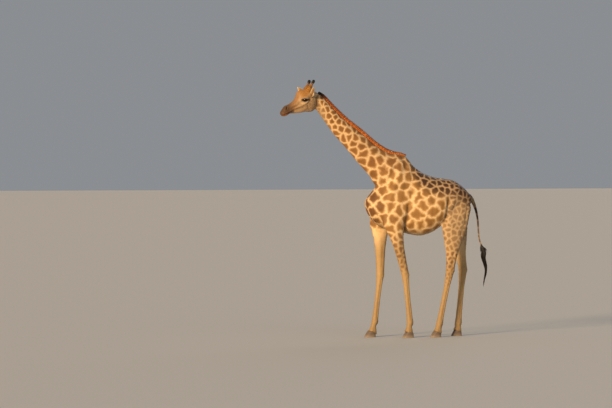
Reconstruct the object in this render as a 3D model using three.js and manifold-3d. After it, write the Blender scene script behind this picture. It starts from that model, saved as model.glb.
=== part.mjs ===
// A life-size giraffe, an adult cow, standing with its head turned a little to its left.
// Millimetres, +Z up. The animal faces -X, and its left side is towards -Y.
// Lengths along the body are measured from the middle of the barrel, and heights from the ground.
// At the end everything is moved so that the origin is under the middle of the whole model.

import * as THREE from "three";
import { LoftGeometry } from "three/addons/geometries/LoftGeometry.js";
import { mergeVertices } from "three/addons/utils/BufferGeometryUtils.js";
import Module from "manifold-3d";

const wasm = await Module();
wasm.setup();

// ---- Driving sizes -------------------------------------------------------------------------

const GAP = 0.3; // clearance between parts that touch
const GROUND = 0;

const HOOF_HEIGHT = 92; // front of the coronet above the ground
const HEEL_HEIGHT = 52;
const FORE_HOOF = { length: 158, width: 134 };
const HIND_HOOF = { length: 148, width: 124 };
const CLEFT = 9; // width of the cleft between the two claws of a foot

const NECK_FOOT_CUT = [-560, 0, 2455]; // where the neck is parted from the trunk
const NECK_TOP_CUT = [-1492, 0, 3362]; // where the head is parted from the neck
const NECK_RISE = [-0.72, 0, 0.694]; // direction of the neck, from withers to poll
const FORELEG_CUT = 1468; // height at which a foreleg is parted from the trunk
const HIND_CUT = [330, 0, 1588]; // a point of the cut that parts a hind leg from the groin
const HIND_CUT_NORMAL = [0.35, 0, -0.937];
const SHANK_TOP = 1100; // below this a hind leg stands clear of the belly

const HEAD_ORIGIN = [-1584, 0, 3494]; // the poll, where head and neck meet
const HEAD_TURN = 10; // degrees to the animal's left
const HEAD_PITCH = 25; // degrees, muzzle down

const EYE = { along: 232, across: 96, above: 57, radius: 26 };
const EAR = { along: 98, across: 78, above: 46, reach: 218, halfWidth: 51, thickness: 8, cup: 20 };
const EAR_POSE = { left: [0.14, 0.6], right: [0.34, 0.7] }; // turned forward, raised
const HORN = { along: 70, across: 44, above: 160, lean: -93, spread: 22, height: 71 };
const HORN_RADIUS = { foot: 36, stem: 17, tuft: 25 };

// ---- Small helpers -------------------------------------------------------------------------

const vector = (p) => new THREE.Vector3(...p);
const mix = (a, b, t) => a + (b - a) * t;

// A closed section: a superellipse whose upper and lower halves have their own height and fullness.
// cup bows the section, as an ear is bowed.
function section({ at, up, along, half, above, below, top, bottom, cup }, sides, grow) {
  const across = new THREE.Vector3().crossVectors(up, along).normalize();
  const points = [];
  for (let k = 0; k < sides; k++) {
    const angle = (2 * Math.PI * (k + 0.5)) / sides;
    const [c, s] = [Math.cos(angle), Math.sin(angle)];
    const power = 2 / (s > 0 ? top : bottom);
    const side = Math.sign(c) * Math.abs(c) ** power * (half + grow);
    const rise = Math.sign(s) * Math.abs(s) ** power * ((s > 0 ? above : below) + grow);
    points.push(at.clone().addScaledVector(across, side).addScaledVector(up, rise - cup * c * c));
  }
  return points;
}

// Places, sizes and fullness between the stations follow smooth curves through them.
function between(stations, steps) {
  const curve = (pick) => new THREE.CatmullRomCurve3(stations.map(pick), false, "catmullrom", 0.5);
  const place = curve((s) => s.at);
  const upward = curve((s) => s.up);
  const size = curve((s) => new THREE.Vector3(s.half, s.above, s.below));
  const fullness = curve(({ top = 2, bottom = 2, cup = 0 }) => new THREE.Vector3(top, bottom, cup));
  const count = steps * (stations.length - 1);
  return Array.from({ length: count + 1 }, (_, k) => {
    const t = k / count;
    const [half, above, below] = size.getPoint(t);
    const [top, bottom, cup] = fullness.getPoint(t);
    const up = upward.getPoint(t).normalize();
    return { at: place.getPoint(t), up, along: place.getTangent(t), half, above, below, top, bottom, cup };
  });
}

function loft(stations, { sides = 16, steps = 2, grow = 0 } = {}) {
  const places = between(stations, steps);
  places[0].at.addScaledVector(places[0].along, -grow);
  places.at(-1).at.addScaledVector(places.at(-1).along, grow);
  const sections = places.map((place) => section(place, sides, grow));
  return new LoftGeometry(sections, { closed: true, capStart: true, capEnd: true });
}

function solid(geometry) {
  const bare = new THREE.BufferGeometry().copy(geometry);
  bare.deleteAttribute("normal");
  bare.deleteAttribute("uv");
  const merged = mergeVertices(bare, 1e-4);
  return new wasm.Manifold(
    new wasm.Mesh({
      numProp: 3,
      vertProperties: Float32Array.from(merged.attributes.position.array),
      triVerts: Uint32Array.from(merged.index.array)
    })
  );
}

function geometryOf(body) {
  const { vertProperties, triVerts } = body.getMesh();
  const geometry = new THREE.BufferGeometry();
  geometry.setAttribute("position", new THREE.BufferAttribute(vertProperties, 3));
  geometry.setIndex(new THREE.BufferAttribute(triVerts, 1));
  geometry.computeVertexNormals();
  return geometry;
}

function box(low, high) {
  const size = vector(high).sub(vector(low));
  const geometry = new THREE.BoxGeometry(...size);
  geometry.translate(...vector(high).add(vector(low)).multiplyScalar(0.5));
  return solid(geometry);
}

// Everything on the side of a plane that its normal points to, as one large box.
function beyond(point, normal, clearance = 0) {
  const reach = 6000;
  const geometry = new THREE.BoxGeometry(reach, reach, reach);
  geometry.translate(0, 0, reach / 2 + clearance);
  const facing = vector(normal).normalize();
  geometry.applyQuaternion(new THREE.Quaternion().setFromUnitVectors(new THREE.Vector3(0, 0, 1), facing));
  geometry.translate(...point);
  return solid(geometry);
}

const opposite = (normal) => normal.map((v) => -v);

// ---- Trunk ---------------------------------------------------------------------------------

// along, top line, height of the widest point, under line, half width, fullness above and below
const TRUNK = [
  [-834, 1990, 1950, 1905, 40, 2.0, 2.0],
  [-800, 2045, 1945, 1800, 118, 2.0, 2.0],
  [-700, 2165, 1935, 1668, 190, 1.9, 2.0],
  [-560, 2370, 1920, 1580, 228, 1.7, 2.1],
  [-400, 2580, 1900, 1536, 252, 1.45, 2.2],
  [-262, 2668, 1880, 1516, 272, 1.4, 2.2],
  [-122, 2514, 1870, 1485, 298, 1.6, 2.2],
  [20, 2402, 1865, 1474, 324, 1.8, 2.1],
  [190, 2336, 1885, 1530, 328, 1.95, 2.0],
  [365, 2308, 1950, 1650, 298, 2.0, 1.9],
  [520, 2278, 2030, 1745, 262, 2.0, 1.9],
  [670, 2169, 2030, 1850, 208, 2.0, 1.9],
  [750, 2074, 2000, 1915, 140, 2.0, 2.0],
  [782, 2030, 1990, 1950, 64, 2.0, 2.0]
];

const trunk = TRUNK.map(([x, top, wide, under, half, fullTop, fullBottom]) => ({
  at: vector([x, 0, wide]),
  up: vector([0, 0, 1]),
  half,
  above: top - wide,
  below: wide - under,
  top: fullTop,
  bottom: fullBottom
}));

// ---- Neck ----------------------------------------------------------------------------------

// throat line x and z, nape line x and z, half width
const NECK = [
  [-520, 2050, -160, 2450, 190],
  [-678, 2190, -300, 2652, 170],
  [-762, 2325, -432, 2672, 148],
  [-848, 2425, -560, 2720, 130],
  [-982, 2570, -708, 2814, 112],
  [-1146, 2762, -908, 2980, 96],
  [-1326, 2958, -1126, 3140, 84],
  [-1477, 3160, -1314, 3310, 77],
  [-1562, 3276, -1424, 3440, 75],
  [-1612, 3345, -1510, 3512, 70],
  [-1650, 3400, -1575, 3553, 60]
];

const neck = NECK.map(([throatX, throatZ, napeX, napeZ, half]) => {
  const throat = vector([throatX, 0, throatZ]);
  const nape = vector([napeX, 0, napeZ]);
  const depth = throat.distanceTo(nape);
  return {
    at: throat.clone().lerp(nape, 0.5),
    up: nape.clone().sub(throat).normalize(),
    half,
    above: depth / 2,
    below: depth / 2,
    top: 1.9,
    bottom: 2
  };
});

// ---- Head, in its own frame: along from poll to nose, across to the left, above --------------

const headFrame = new THREE.Matrix4()
  .makeTranslation(...HEAD_ORIGIN)
  .multiply(new THREE.Matrix4().makeRotationZ(THREE.MathUtils.degToRad(HEAD_TURN)))
  .multiply(new THREE.Matrix4().makeRotationY(THREE.MathUtils.degToRad(-HEAD_PITCH)));

const onHead = (along, across, above) => new THREE.Vector3(-along, -across, above).applyMatrix4(headFrame);
const headDirection = (along, across, above) =>
  onHead(along, across, above).sub(vector(HEAD_ORIGIN)).normalize();

// along, top line, height of the widest point, under line, half width, fullness above and below
const HEAD = [
  [-24, 72, 10, -62, 62, 2.0, 2.0],
  [40, 134, 25, -122, 84, 2.0, 1.9],
  [105, 180, 40, -160, 92, 2.1, 1.8],
  [160, 192, 48, -166, 97, 2.1, 1.8],
  [212, 198, 52, -146, 104, 2.0, 1.8],
  [250, 188, 54, -124, 105, 1.9, 1.8],
  [290, 152, 46, -113, 90, 1.8, 1.9],
  [335, 114, 36, -103, 72, 1.9, 2.0],
  [400, 96, 30, -78, 58, 2.1, 2.0],
  [460, 92, 28, -54, 52, 2.2, 2.0],
  [515, 88, 24, -40, 55, 2.3, 2.1],
  [562, 72, 18, -46, 57, 2.4, 2.2],
  [600, 50, 12, -37, 50, 2.4, 2.2],
  [624, 28, 8, -18, 34, 2.2, 2.2]
];

const headUp = headDirection(0, 0, 1);
const head = HEAD.map(([along, top, wide, under, half, fullTop, fullBottom]) => ({
  at: onHead(along, 0, wide),
  up: headUp,
  half,
  above: top - wide,
  below: wide - under,
  top: fullTop,
  bottom: fullBottom
}));

// ---- Ears, horns and eyes -------------------------------------------------------------------

// share of the ear's reach, share of its half width, cup
const EAR_SHAPE = [
  [-0.06, 0.42, 0.5],
  [0.08, 0.6, 0.7],
  [0.3, 0.95, 1.0],
  [0.52, 1.0, 0.9],
  [0.75, 0.74, 0.7],
  [0.92, 0.36, 0.3],
  [1.0, 0.08, 0.0]
];

// An ear reaches out, up and a little forward, with its hollow facing forward.
const levelForward = new THREE.Vector3(-1, 0, 0).applyAxisAngle(
  new THREE.Vector3(0, 0, 1),
  THREE.MathUtils.degToRad(HEAD_TURN)
);

function ear(side, [forward, raised]) {
  const root = onHead(EAR.along, side * EAR.across, EAR.above);
  const out = headDirection(0, side, 0).multiplyScalar(0.75);
  const reach = out.addScaledVector(levelForward, forward).add(vector([0, 0, raised])).normalize();
  const facing = levelForward.clone().addScaledVector(reach, -levelForward.dot(reach)).normalize();
  const backing = facing.negate();
  return EAR_SHAPE.map(([share, width, cup]) => ({
    at: root.clone().addScaledVector(reach, share * EAR.reach).addScaledVector(backing, cup * EAR.cup),
    up: backing,
    half: width * EAR.halfWidth,
    above: EAR.thickness / 2 + 3 * width,
    below: EAR.thickness / 2,
    cup: cup * EAR.cup
  }));
}

// share of the horn's length, radius
const HORN_SHAPE = [
  [-0.3, HORN_RADIUS.foot * 1.15],
  [0.0, HORN_RADIUS.foot],
  [0.25, HORN_RADIUS.foot * 0.72],
  [0.48, HORN_RADIUS.stem],
  [0.68, HORN_RADIUS.stem],
  [0.8, HORN_RADIUS.tuft * 0.84],
  [0.93, HORN_RADIUS.tuft],
  [1.08, HORN_RADIUS.tuft * 0.9],
  [1.19, HORN_RADIUS.tuft * 0.4]
];

function horn(side) {
  const foot = onHead(HORN.along, side * HORN.across, HORN.above);
  const tip = onHead(HORN.along + HORN.lean, side * (HORN.across + HORN.spread), HORN.above + HORN.height);
  const up = headDirection(0, side, 0);
  return HORN_SHAPE.map(([share, radius]) => ({
    at: foot.clone().lerp(tip, share),
    up,
    half: radius,
    above: radius,
    below: radius
  }));
}

function eye(side, grow = 0) {
  const ball = new THREE.IcosahedronGeometry(EYE.radius + grow, 2);
  ball.translate(...onHead(EYE.along, side * EYE.across, EYE.above));
  return solid(ball);
}

// ---- Mane and tail ---------------------------------------------------------------------------

// nape point and rise of the mane above it, from withers to poll
const MANE = [
  [-225, 2650, 12],
  [-300, 2660, 30],
  [-432, 2672, 50],
  [-560, 2720, 58],
  [-708, 2814, 62],
  [-908, 2980, 64],
  [-1126, 3140, 66],
  [-1314, 3310, 62],
  [-1424, 3440, 44],
  [-1500, 3506, 48],
  [-1556, 3548, 36]
];
const MANE_HALF = 17;
const MANE_ROOT = 40; // how far the mane's foot is sunk before it is cut to the neck

const maneUp = [...MANE.keys()].map((k) => {
  const [a, b] = [MANE[Math.max(k - 1, 0)], MANE[Math.min(k + 1, MANE.length - 1)]];
  return vector([b[1] - a[1], 0, a[0] - b[0]]).normalize();
});
const mane = MANE.map(([x, z, rise], k) => ({
  at: vector([x, 0, z]),
  up: maneUp[k],
  half: MANE_HALF,
  above: rise,
  below: MANE_ROOT,
  top: 1.7,
  bottom: 2
}));

// along, height, half width, half depth
const TAIL = [
  [700, 2075, 30, 34],
  [768, 2030, 34, 36],
  [822, 1950, 27, 26],
  [866, 1830, 20, 19],
  [890, 1700, 16, 15],
  [900, 1560, 13, 12],
  [912, 1430, 12, 11],
  [948, 1322, 12, 11]
];
const TAIL_TUFT = [
  [950, 1315, 14, 14],
  [978, 1272, 44, 52],
  [990, 1215, 52, 56],
  [992, 1140, 46, 50],
  [996, 1060, 36, 38],
  [1008, 975, 27, 28],
  [1006, 880, 20, 20],
  [994, 770, 14, 14],
  [986, 660, 5, 5]
];

const hanging = (rows) =>
  rows.map(([x, z, half, depth]) => ({
    at: vector([x, 0, z]),
    up: vector([1, 0, 0]),
    half,
    above: depth,
    below: depth
  }));

// ---- Legs ------------------------------------------------------------------------------------

// Joints of each leg: along and height, with the distance from the middle plane.
const LEGS = {
  foreleg_left: {
    side: -1,
    joints: [[-330, 132, 2420], [-474, 200, 1650], [-282, 168, 925], [-205, 160, 215], [-236, 158, 84]],
    hoof: -236
  },
  foreleg_right: {
    side: 1,
    joints: [[-350, 132, 2420], [-545, 200, 1650], [-553, 168, 905], [-640, 160, 215], [-690, 158, 84]],
    hoof: -714
  },
  hindleg_left: {
    side: -1,
    joints: [[560, 140, 2130], [482, 178, 1700], [414, 152, 975], [244, 150, 175], [206, 150, 84]],
    hoof: 190
  },
  hindleg_right: {
    side: 1,
    joints: [[575, 140, 2130], [580, 178, 1700], [716, 152, 975], [640, 150, 175], [618, 150, 84]],
    hoof: 612
  }
};

// place along the chain of joints, depth from front to back, width
const FORELEG = [
  [0.0, 150, 44],
  [0.2, 300, 124],
  [0.5, 400, 172],
  [0.78, 400, 184],
  [1.0, 336, 174],
  [1.14, 270, 160],
  [1.28, 212, 144],
  [1.48, 170, 128],
  [1.7, 146, 116],
  [1.9, 130, 112],
  [2.0, 128, 118],
  [2.09, 114, 108],
  [2.25, 94, 84],
  [2.55, 86, 74],
  [2.85, 90, 80],
  [3.0, 104, 96],
  [3.4, 82, 84],
  [3.8, 84, 94],
  [4.0, 104, 112]
];

const HINDLEG = [
  [0.0, 180, 60],
  [0.25, 350, 150],
  [0.6, 440, 178],
  [1.0, 420, 186],
  [1.14, 396, 176],
  [1.32, 330, 160],
  [1.5, 256, 136],
  [1.66, 196, 116],
  [1.82, 158, 104],
  [1.94, 146, 102],
  [2.02, 142, 104],
  [2.12, 122, 98],
  [2.3, 96, 80],
  [2.6, 90, 72],
  [2.86, 93, 78],
  [3.0, 110, 92],
  [3.45, 84, 82],
  [3.8, 84, 90],
  [4.0, 98, 104]
];

// A leg ends in the sloping plane of its coronet, 110 mm from front to heel.
const coronetUp = new THREE.Vector3(-1, 0, (HOOF_HEIGHT - HEEL_HEIGHT) / 110).normalize();

function leg({ side, joints }, sizes) {
  return sizes.map(([place, depth, width]) => {
    const first = Math.min(Math.floor(place), joints.length - 2);
    const [a, b] = [joints[first], joints[first + 1]];
    const [x, y, z] = a.map((value, axis) => mix(value, b[axis], place - first));
    return {
      at: vector([x, side * y, z]),
      up: place === joints.length - 1 ? coronetUp : vector([-1, 0, 0]),
      half: width / 2,
      above: depth / 2,
      below: depth / 2,
      top: 2,
      bottom: 2
    };
  });
}

// A claw of the cloven hoof: sections from the sole up to the coronet, which slopes down to the heel.
// height share, length share, width share, lean back of the toe
const CLAW = [
  [0.0, 1.0, 1.0, 0],
  [0.35, 0.94, 0.96, 4],
  [1.0, 0.7, 0.84, 16]
];
const CLAW_SIDES = 14;

function claw(name, hoof, lateral, size) {
  const { side, joints } = LEGS[name];
  const middle = side * joints[4][1] + lateral * (size.width / 4 + CLEFT / 4);
  const sections = CLAW.map(([rise, long, wide, back]) => {
    const points = [];
    for (let k = 0; k < CLAW_SIDES; k++) {
      const angle = (2 * Math.PI * (k + 0.5)) / CLAW_SIDES;
      const [c, s] = [Math.cos(angle), Math.sin(angle)];
      const forward = Math.sign(c) * Math.abs(c) ** 0.85;
      const taper = 1 - 0.28 * Math.max(c, 0) ** 2;
      const flat = s * lateral < 0 ? 0.5 : 1; // the side to the cleft is flatter
      const x = hoof + back - forward * (size.length / 2) * long;
      const half = ((size.width - CLEFT) / 4) * wide * taper;
      const shift = lateral * (wide - 1) * 6;
      const y = middle + shift + Math.sign(s) * Math.abs(s) ** 0.8 * half * mix(1, flat, 0.25);
      const slope = mix(HOOF_HEIGHT, HEEL_HEIGHT, (1 - forward * long) / 2) - GAP;
      points.push(new THREE.Vector3(x, y, GROUND + rise * slope));
    }
    return points.reverse();
  });
  return new LoftGeometry(sections, { closed: true, capStart: true, capEnd: true });
}

// ---- The whole body, parted by thin cuts ------------------------------------------------------

const shapeOf = (name) => (name.startsWith("fore") ? FORELEG : HINDLEG);

function wholeBody(grow = 0) {
  let body = solid(loft(trunk, { sides: 26, steps: 2, grow }));
  body = body.add(solid(loft(neck, { sides: 20, steps: 2, grow })));
  body = body.add(solid(loft(head, { sides: 20, steps: 2, grow })));
  for (const [name, frame] of Object.entries(LEGS)) {
    body = body.add(solid(loft(leg(frame, shapeOf(name)), { sides: 14, steps: 1, grow })));
  }
  return body;
}

const body = wholeBody();
const grownBody = wholeBody(GAP);
const half = GAP / 2;

const aboveHeadCut = beyond(NECK_TOP_CUT, NECK_RISE, half);
const belowHeadCut = beyond(NECK_TOP_CUT, opposite(NECK_RISE), half);
const aboveNeckCut = beyond(NECK_FOOT_CUT, NECK_RISE, half);
const belowNeckCut = beyond(NECK_FOOT_CUT, opposite(NECK_RISE), half);

// The space that holds one leg below its cut; the two sides meet in the middle plane.
const sideBox = (side, [x0, x1], top) => box([x0, side < 0 ? -700 : 0, -20], [x1, side < 0 ? 0 : 700, top]);
const foreSpace = (side, clear) => sideBox(side, [-1200, -60], FORELEG_CUT + clear);
const hindSpace = (side, clear) =>
  sideBox(side, [215 - clear, 1000], 1900)
    .intersect(beyond(HIND_CUT, HIND_CUT_NORMAL, -clear))
    .add(sideBox(side, [-40, 600], SHANK_TOP));
const legSpace = (name, clear) =>
  (name.startsWith("fore") ? foreSpace : hindSpace)(LEGS[name].side, clear);

const solids = {};
solids.head = body.intersect(aboveHeadCut).subtract(eye(1, GAP)).subtract(eye(-1, GAP));
solids.neck = body.intersect(belowHeadCut).intersect(aboveNeckCut);
solids.trunk = body.intersect(belowNeckCut);
for (const name of Object.keys(LEGS)) {
  solids.trunk = solids.trunk.subtract(legSpace(name, half));
  solids[name] = body.intersect(legSpace(name, -half));
}
solids.mane = solid(loft(mane, { sides: 8, steps: 2 })).subtract(grownBody);
solids.tail = solid(loft(hanging(TAIL), { sides: 8, steps: 2 })).subtract(grownBody);
solids.tail_tuft = solid(loft(hanging(TAIL_TUFT), { sides: 10, steps: 1 }));
for (const [name, side] of [["left", 1], ["right", -1]]) {
  solids[`eye_${name}`] = eye(side);
  solids[`ear_${name}`] = solid(loft(ear(side, EAR_POSE[name]), { sides: 12, steps: 1 })).subtract(grownBody);
  solids[`horn_${name}`] = solid(loft(horn(side), { sides: 12, steps: 1 })).subtract(grownBody);
}
for (const name of Object.keys(LEGS)) {
  const size = name.startsWith("fore") ? FORE_HOOF : HIND_HOOF;
  const foot = name.replace("leg", "hoof");
  solids[`${foot}_outer`] = solid(claw(name, LEGS[name].hoof, LEGS[name].side, size));
  solids[`${foot}_inner`] = solid(claw(name, LEGS[name].hoof, -LEGS[name].side, size));
}

// ---- Colours and the finished group ------------------------------------------------------------

const HIDE = { color: 0xcf9f62, roughness: 0.85, metalness: 0 };
const MANE_HAIR = { color: 0x8a4a1c, roughness: 0.9, metalness: 0 };
const BLACK_HAIR = { color: 0x1d1815, roughness: 0.9, metalness: 0 };
const EYE_DARK = { color: 0x17100c, roughness: 0.15, metalness: 0 };
const HOOF_HORN = { color: 0x4a3a2c, roughness: 0.6, metalness: 0 };

function finishOf(name) {
  if (name.includes("hoof")) return HOOF_HORN;
  if (name.startsWith("eye")) return EYE_DARK;
  if (name === "mane") return MANE_HAIR;
  if (name === "tail_tuft") return BLACK_HAIR;
  return HIDE;
}

const group = new THREE.Group();
for (const [name, body] of Object.entries(solids)) {
  const mesh = new THREE.Mesh(geometryOf(body), new THREE.MeshStandardMaterial(finishOf(name)));
  mesh.name = name;
  group.add(mesh);
}

const bounds = new THREE.Box3().setFromObject(group);
const middle = bounds.getCenter(new THREE.Vector3());
group.position.set(-middle.x, -middle.y, -bounds.min.z);
group.updateMatrixWorld(true);

export default group;
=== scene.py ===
# %% [markdown]
# # A standing giraffe, as a museum model
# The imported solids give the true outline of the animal, out to the tips of its coat. This lesson
# dresses them: one skin over the whole body, eyes, horns and hooves of their own, the markings of
# the hide, and the hair that stands clear of it. Everything is in metres, with +Z up, and the
# animal faces -X, so its left side is towards -Y.

import functools
import math

import bmesh
import bpy
import numpy as np
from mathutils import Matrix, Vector, kdtree
from mathutils.bvhtree import BVHTree


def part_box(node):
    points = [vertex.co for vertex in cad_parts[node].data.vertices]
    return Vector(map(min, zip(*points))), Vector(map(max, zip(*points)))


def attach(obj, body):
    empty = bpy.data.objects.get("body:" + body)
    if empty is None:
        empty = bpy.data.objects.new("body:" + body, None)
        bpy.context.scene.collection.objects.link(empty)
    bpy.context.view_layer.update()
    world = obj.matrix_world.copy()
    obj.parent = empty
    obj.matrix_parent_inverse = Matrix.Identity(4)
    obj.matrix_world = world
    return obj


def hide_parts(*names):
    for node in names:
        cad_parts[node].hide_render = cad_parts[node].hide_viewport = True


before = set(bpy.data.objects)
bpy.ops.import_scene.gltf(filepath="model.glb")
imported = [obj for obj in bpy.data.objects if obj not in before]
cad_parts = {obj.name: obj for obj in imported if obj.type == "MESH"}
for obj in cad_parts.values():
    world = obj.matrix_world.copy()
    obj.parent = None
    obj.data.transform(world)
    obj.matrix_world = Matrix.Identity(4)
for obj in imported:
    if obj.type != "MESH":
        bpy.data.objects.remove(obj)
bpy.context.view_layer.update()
rng = np.random.default_rng(7)

# %% [markdown]
# ## Small tools
# A few helpers carry the lesson. One turns an sRGB hex colour into the linear numbers that a shader
# works in. One adds a shader node with its settings and its inputs, where an input is either a value
# or another node's output, and gives back one output. One makes a mesh from whole arrays of points
# and faces, and one stores an array on its points.


# %% Colour and shader nodes
def linear(hex_colour):
    """sRGB hex to linear RGBA: below 0.04045 divide by 12.92, above it ((c + 0.055) / 1.055) ** 2.4."""
    values = [int(hex_colour[i : i + 2], 16) / 255 for i in (1, 3, 5)]
    return (*[c / 12.92 if c <= 0.04045 else ((c + 0.055) / 1.055) ** 2.4 for c in values], 1.0)


def add_node(tree, kind, inputs=None, output=0, **settings):
    """Adds a node, sets its properties, fills its inputs with values or sockets, gives one output."""
    made = tree.nodes.new("ShaderNode" + kind)
    for key, value in settings.items():
        setattr(made, key, value)
    for key, value in (inputs or {}).items():
        if isinstance(value, bpy.types.NodeSocket):
            tree.links.new(value, made.inputs[key])
        else:
            made.inputs[key].default_value = value
    return made.outputs[output] if len(made.outputs) else None


def new_material(name):
    """An empty node material, and add_node for its tree."""
    material = bpy.data.materials.new(name)
    material.use_nodes = True
    material.node_tree.nodes.clear()
    return material, functools.partial(add_node, material.node_tree)


# settings that colour mixes and smooth steps share
MIX = {"output": 2, "data_type": "RGBA", "blend_type": "MIX"}
TIMES = {"output": 2, "data_type": "RGBA", "blend_type": "MULTIPLY"}
SMOOTH = {"interpolation_type": "SMOOTHSTEP"}


# %% Meshes from arrays
def mesh_object(name, points, faces, smooth=True):
    """A mesh from an array of points and a list of face arrays, each of them faces by corners."""
    mesh = bpy.data.meshes.new(name)
    sizes = np.concatenate([np.full(len(f), f.shape[1]) for f in faces])
    corners = np.concatenate([np.asarray(f).ravel() for f in faces])
    mesh.vertices.add(len(points))
    mesh.loops.add(len(corners))
    mesh.polygons.add(len(sizes))
    mesh.vertices.foreach_set("co", np.asarray(points, np.float32).ravel())
    mesh.loops.foreach_set("vertex_index", corners.astype(np.int32))
    mesh.polygons.foreach_set("loop_start", (np.cumsum(sizes) - sizes).astype(np.int32))
    mesh.update(calc_edges=True)
    mesh.validate()
    mesh.shade_smooth() if smooth else mesh.shade_flat()
    piece = bpy.data.objects.new(name, mesh)
    bpy.context.scene.collection.objects.link(piece)
    return piece


def points_of(mesh, field="co"):
    """The places, or another vector, of all points of a mesh, as rows."""
    found = np.empty(len(mesh.vertices) * 3, np.float32)
    mesh.vertices.foreach_get(field, found)
    return found.reshape(-1, 3).astype(float)


def normals_of(mesh):
    """The normals of all points of a mesh, as rows."""
    return points_of(mesh, "normal")


def set_points(mesh, points):
    """Moves all points of a mesh at once."""
    mesh.vertices.foreach_set("co", np.asarray(points, np.float32).ravel())
    mesh.update()


def mark(piece, values):
    """Stores arrays on the points of a mesh: one number or one colour for each point."""
    for key, value in values.items():
        kind, field = ("FLOAT", "value") if value.ndim == 1 else ("FLOAT_COLOR", "color")
        layer = piece.data.attributes.new(key, kind, "POINT")
        layer.data.foreach_set(field, value.astype(np.float32).ravel())


def outward(piece):
    """Turns every face outwards; for closed pieces only."""
    bm = bmesh.new()
    bm.from_mesh(piece.data)
    bmesh.ops.recalc_face_normals(bm, faces=bm.faces)
    bm.to_mesh(piece.data)
    bm.free()


def unit(v):
    """Each row divided by its length."""
    v = np.asarray(v, float)
    return v / np.maximum(np.linalg.norm(v, axis=-1, keepdims=True), 1e-12)


def smoothstep(low, high, x):
    """0 below low, 1 above high, and 3 t^2 - 2 t^3 between them."""
    t = np.clip((x - low) / (high - low), 0, 1)
    return t * t * (3 - 2 * t)


# %% [markdown]
# ## Landmarks
# A sculptor measures from landmarks. Here they come from the solids: the breast gives the zero for
# lengths along the body, and the two eyeballs give the head's own frame, whose axes run along the
# skull to the nose, across to the left, and up from the face.

# %% Landmarks from the solids
BREAST_TO_BARREL = 0.834
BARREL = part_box("trunk")[0].x + BREAST_TO_BARREL


def place(x, y, z):
    """A point x metres behind the middle of the barrel, y to the right and z above the ground."""
    return np.array([BARREL + x, y, z])


HEAD_PITCH = math.radians(25)
EYE_ALONG, EYE_ABOVE = 0.232, 0.057
eye_centre = {side: np.array(sum(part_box(f"eye_{side}"), Vector())) / 2 for side in ("left", "right")}
EYE_RADIUS = (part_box("eye_left")[1].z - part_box("eye_left")[0].z) / 2
head_left = unit(eye_centre["left"] - eye_centre["right"])
level_ahead = np.cross(head_left, (0, 0, 1))
head_ahead = math.cos(HEAD_PITCH) * level_ahead - math.sin(HEAD_PITCH) * np.array([0, 0, 1.0])
head_up = np.cross(head_ahead, head_left)
head_axes = np.array([head_ahead, head_left, head_up])
head_zero = (eye_centre["left"] + eye_centre["right"]) / 2 - head_axes.T @ [EYE_ALONG, 0, EYE_ABOVE]


def in_head(points):
    """Head coordinates: along the skull from the poll, across to the left, above."""
    return (points - head_zero) @ head_axes.T


def on_head(along, across, above):
    """The point in space at the given head coordinates."""
    return head_zero + head_axes.T @ np.array([along, across, above])


# joints of each leg: hip or shoulder blade, elbow or stifle, knee or hock, fetlock, coronet
LEG_JOINTS = {
    "foreleg_left": [(-0.330, 0.132, 2.42), (-0.474, 0.200, 1.65), (-0.282, 0.168, 0.925),
                     (-0.205, 0.160, 0.215), (-0.236, 0.158, 0.084)],
    "foreleg_right": [(-0.350, 0.132, 2.42), (-0.545, 0.200, 1.65), (-0.553, 0.168, 0.905),
                      (-0.640, 0.160, 0.215), (-0.690, 0.158, 0.084)],
    "hindleg_left": [(0.560, 0.140, 2.13), (0.482, 0.178, 1.70), (0.414, 0.152, 0.975),
                     (0.244, 0.150, 0.175), (0.206, 0.150, 0.084)],
    "hindleg_right": [(0.575, 0.140, 2.13), (0.580, 0.178, 1.70), (0.716, 0.152, 0.975),
                      (0.640, 0.150, 0.175), (0.618, 0.150, 0.084)],
}
SIDE = {"left": -1, "right": 1}
joints = {
    leg: np.array([place(x, SIDE[leg.split("_")[1]] * y, z) for x, y, z in rows])
    for leg, rows in LEG_JOINTS.items()
}
print("eye radius mm:", round(EYE_RADIUS * 1000, 1), "poll at:", np.round(head_zero, 3))

# %% [markdown]
# ## Camera, floor and light
# The animal is seen from far off with a long lens, a little in front of its left side, from about
# the height of its shoulder. Far off, near and far legs look the same size, as they do through a
# long lens in the field. The floor is plain and pale, with one large warm key low on the left, a
# weaker cool fill and a pale sky.

# %% Camera
PICTURE = (612, 408)
SENSOR = 0.036
METRES_PER_PIXEL = 0.01456
CAMERA_DISTANCE = 60.0
CAMERA_AZIMUTH = math.radians(-17)
CAMERA_HEIGHT = 2.97
GROUND_LINE, BARREL_COLUMN = 337, 420  # pixels: the standing line and the middle of the barrel

right_hand = np.array([math.cos(CAMERA_AZIMUTH), math.sin(CAMERA_AZIMUTH), 0])
toward = np.array([math.sin(CAMERA_AZIMUTH), -math.cos(CAMERA_AZIMUTH), 0])
aim = place(0, 0, 0) + right_hand * (PICTURE[0] / 2 - BARREL_COLUMN) * METRES_PER_PIXEL
aim[2] = (GROUND_LINE - PICTURE[1] / 2) * METRES_PER_PIXEL
eye_point = aim + toward * CAMERA_DISTANCE
eye_point[2] = CAMERA_HEIGHT

camera_data = bpy.data.cameras.new("camera")
camera_data.sensor_width = SENSOR * 1000
camera_data.lens = SENSOR * 1000 * CAMERA_DISTANCE / (PICTURE[0] * METRES_PER_PIXEL)
camera_data.clip_end = 1000
camera = bpy.data.objects.new("camera", camera_data)
camera.location = eye_point
camera.rotation_euler = Vector(aim - eye_point).to_track_quat("-Z", "Y").to_euler()
bpy.context.scene.collection.objects.link(camera)
bpy.context.scene.camera = camera
print("lens mm:", round(camera_data.lens, 1))


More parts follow.
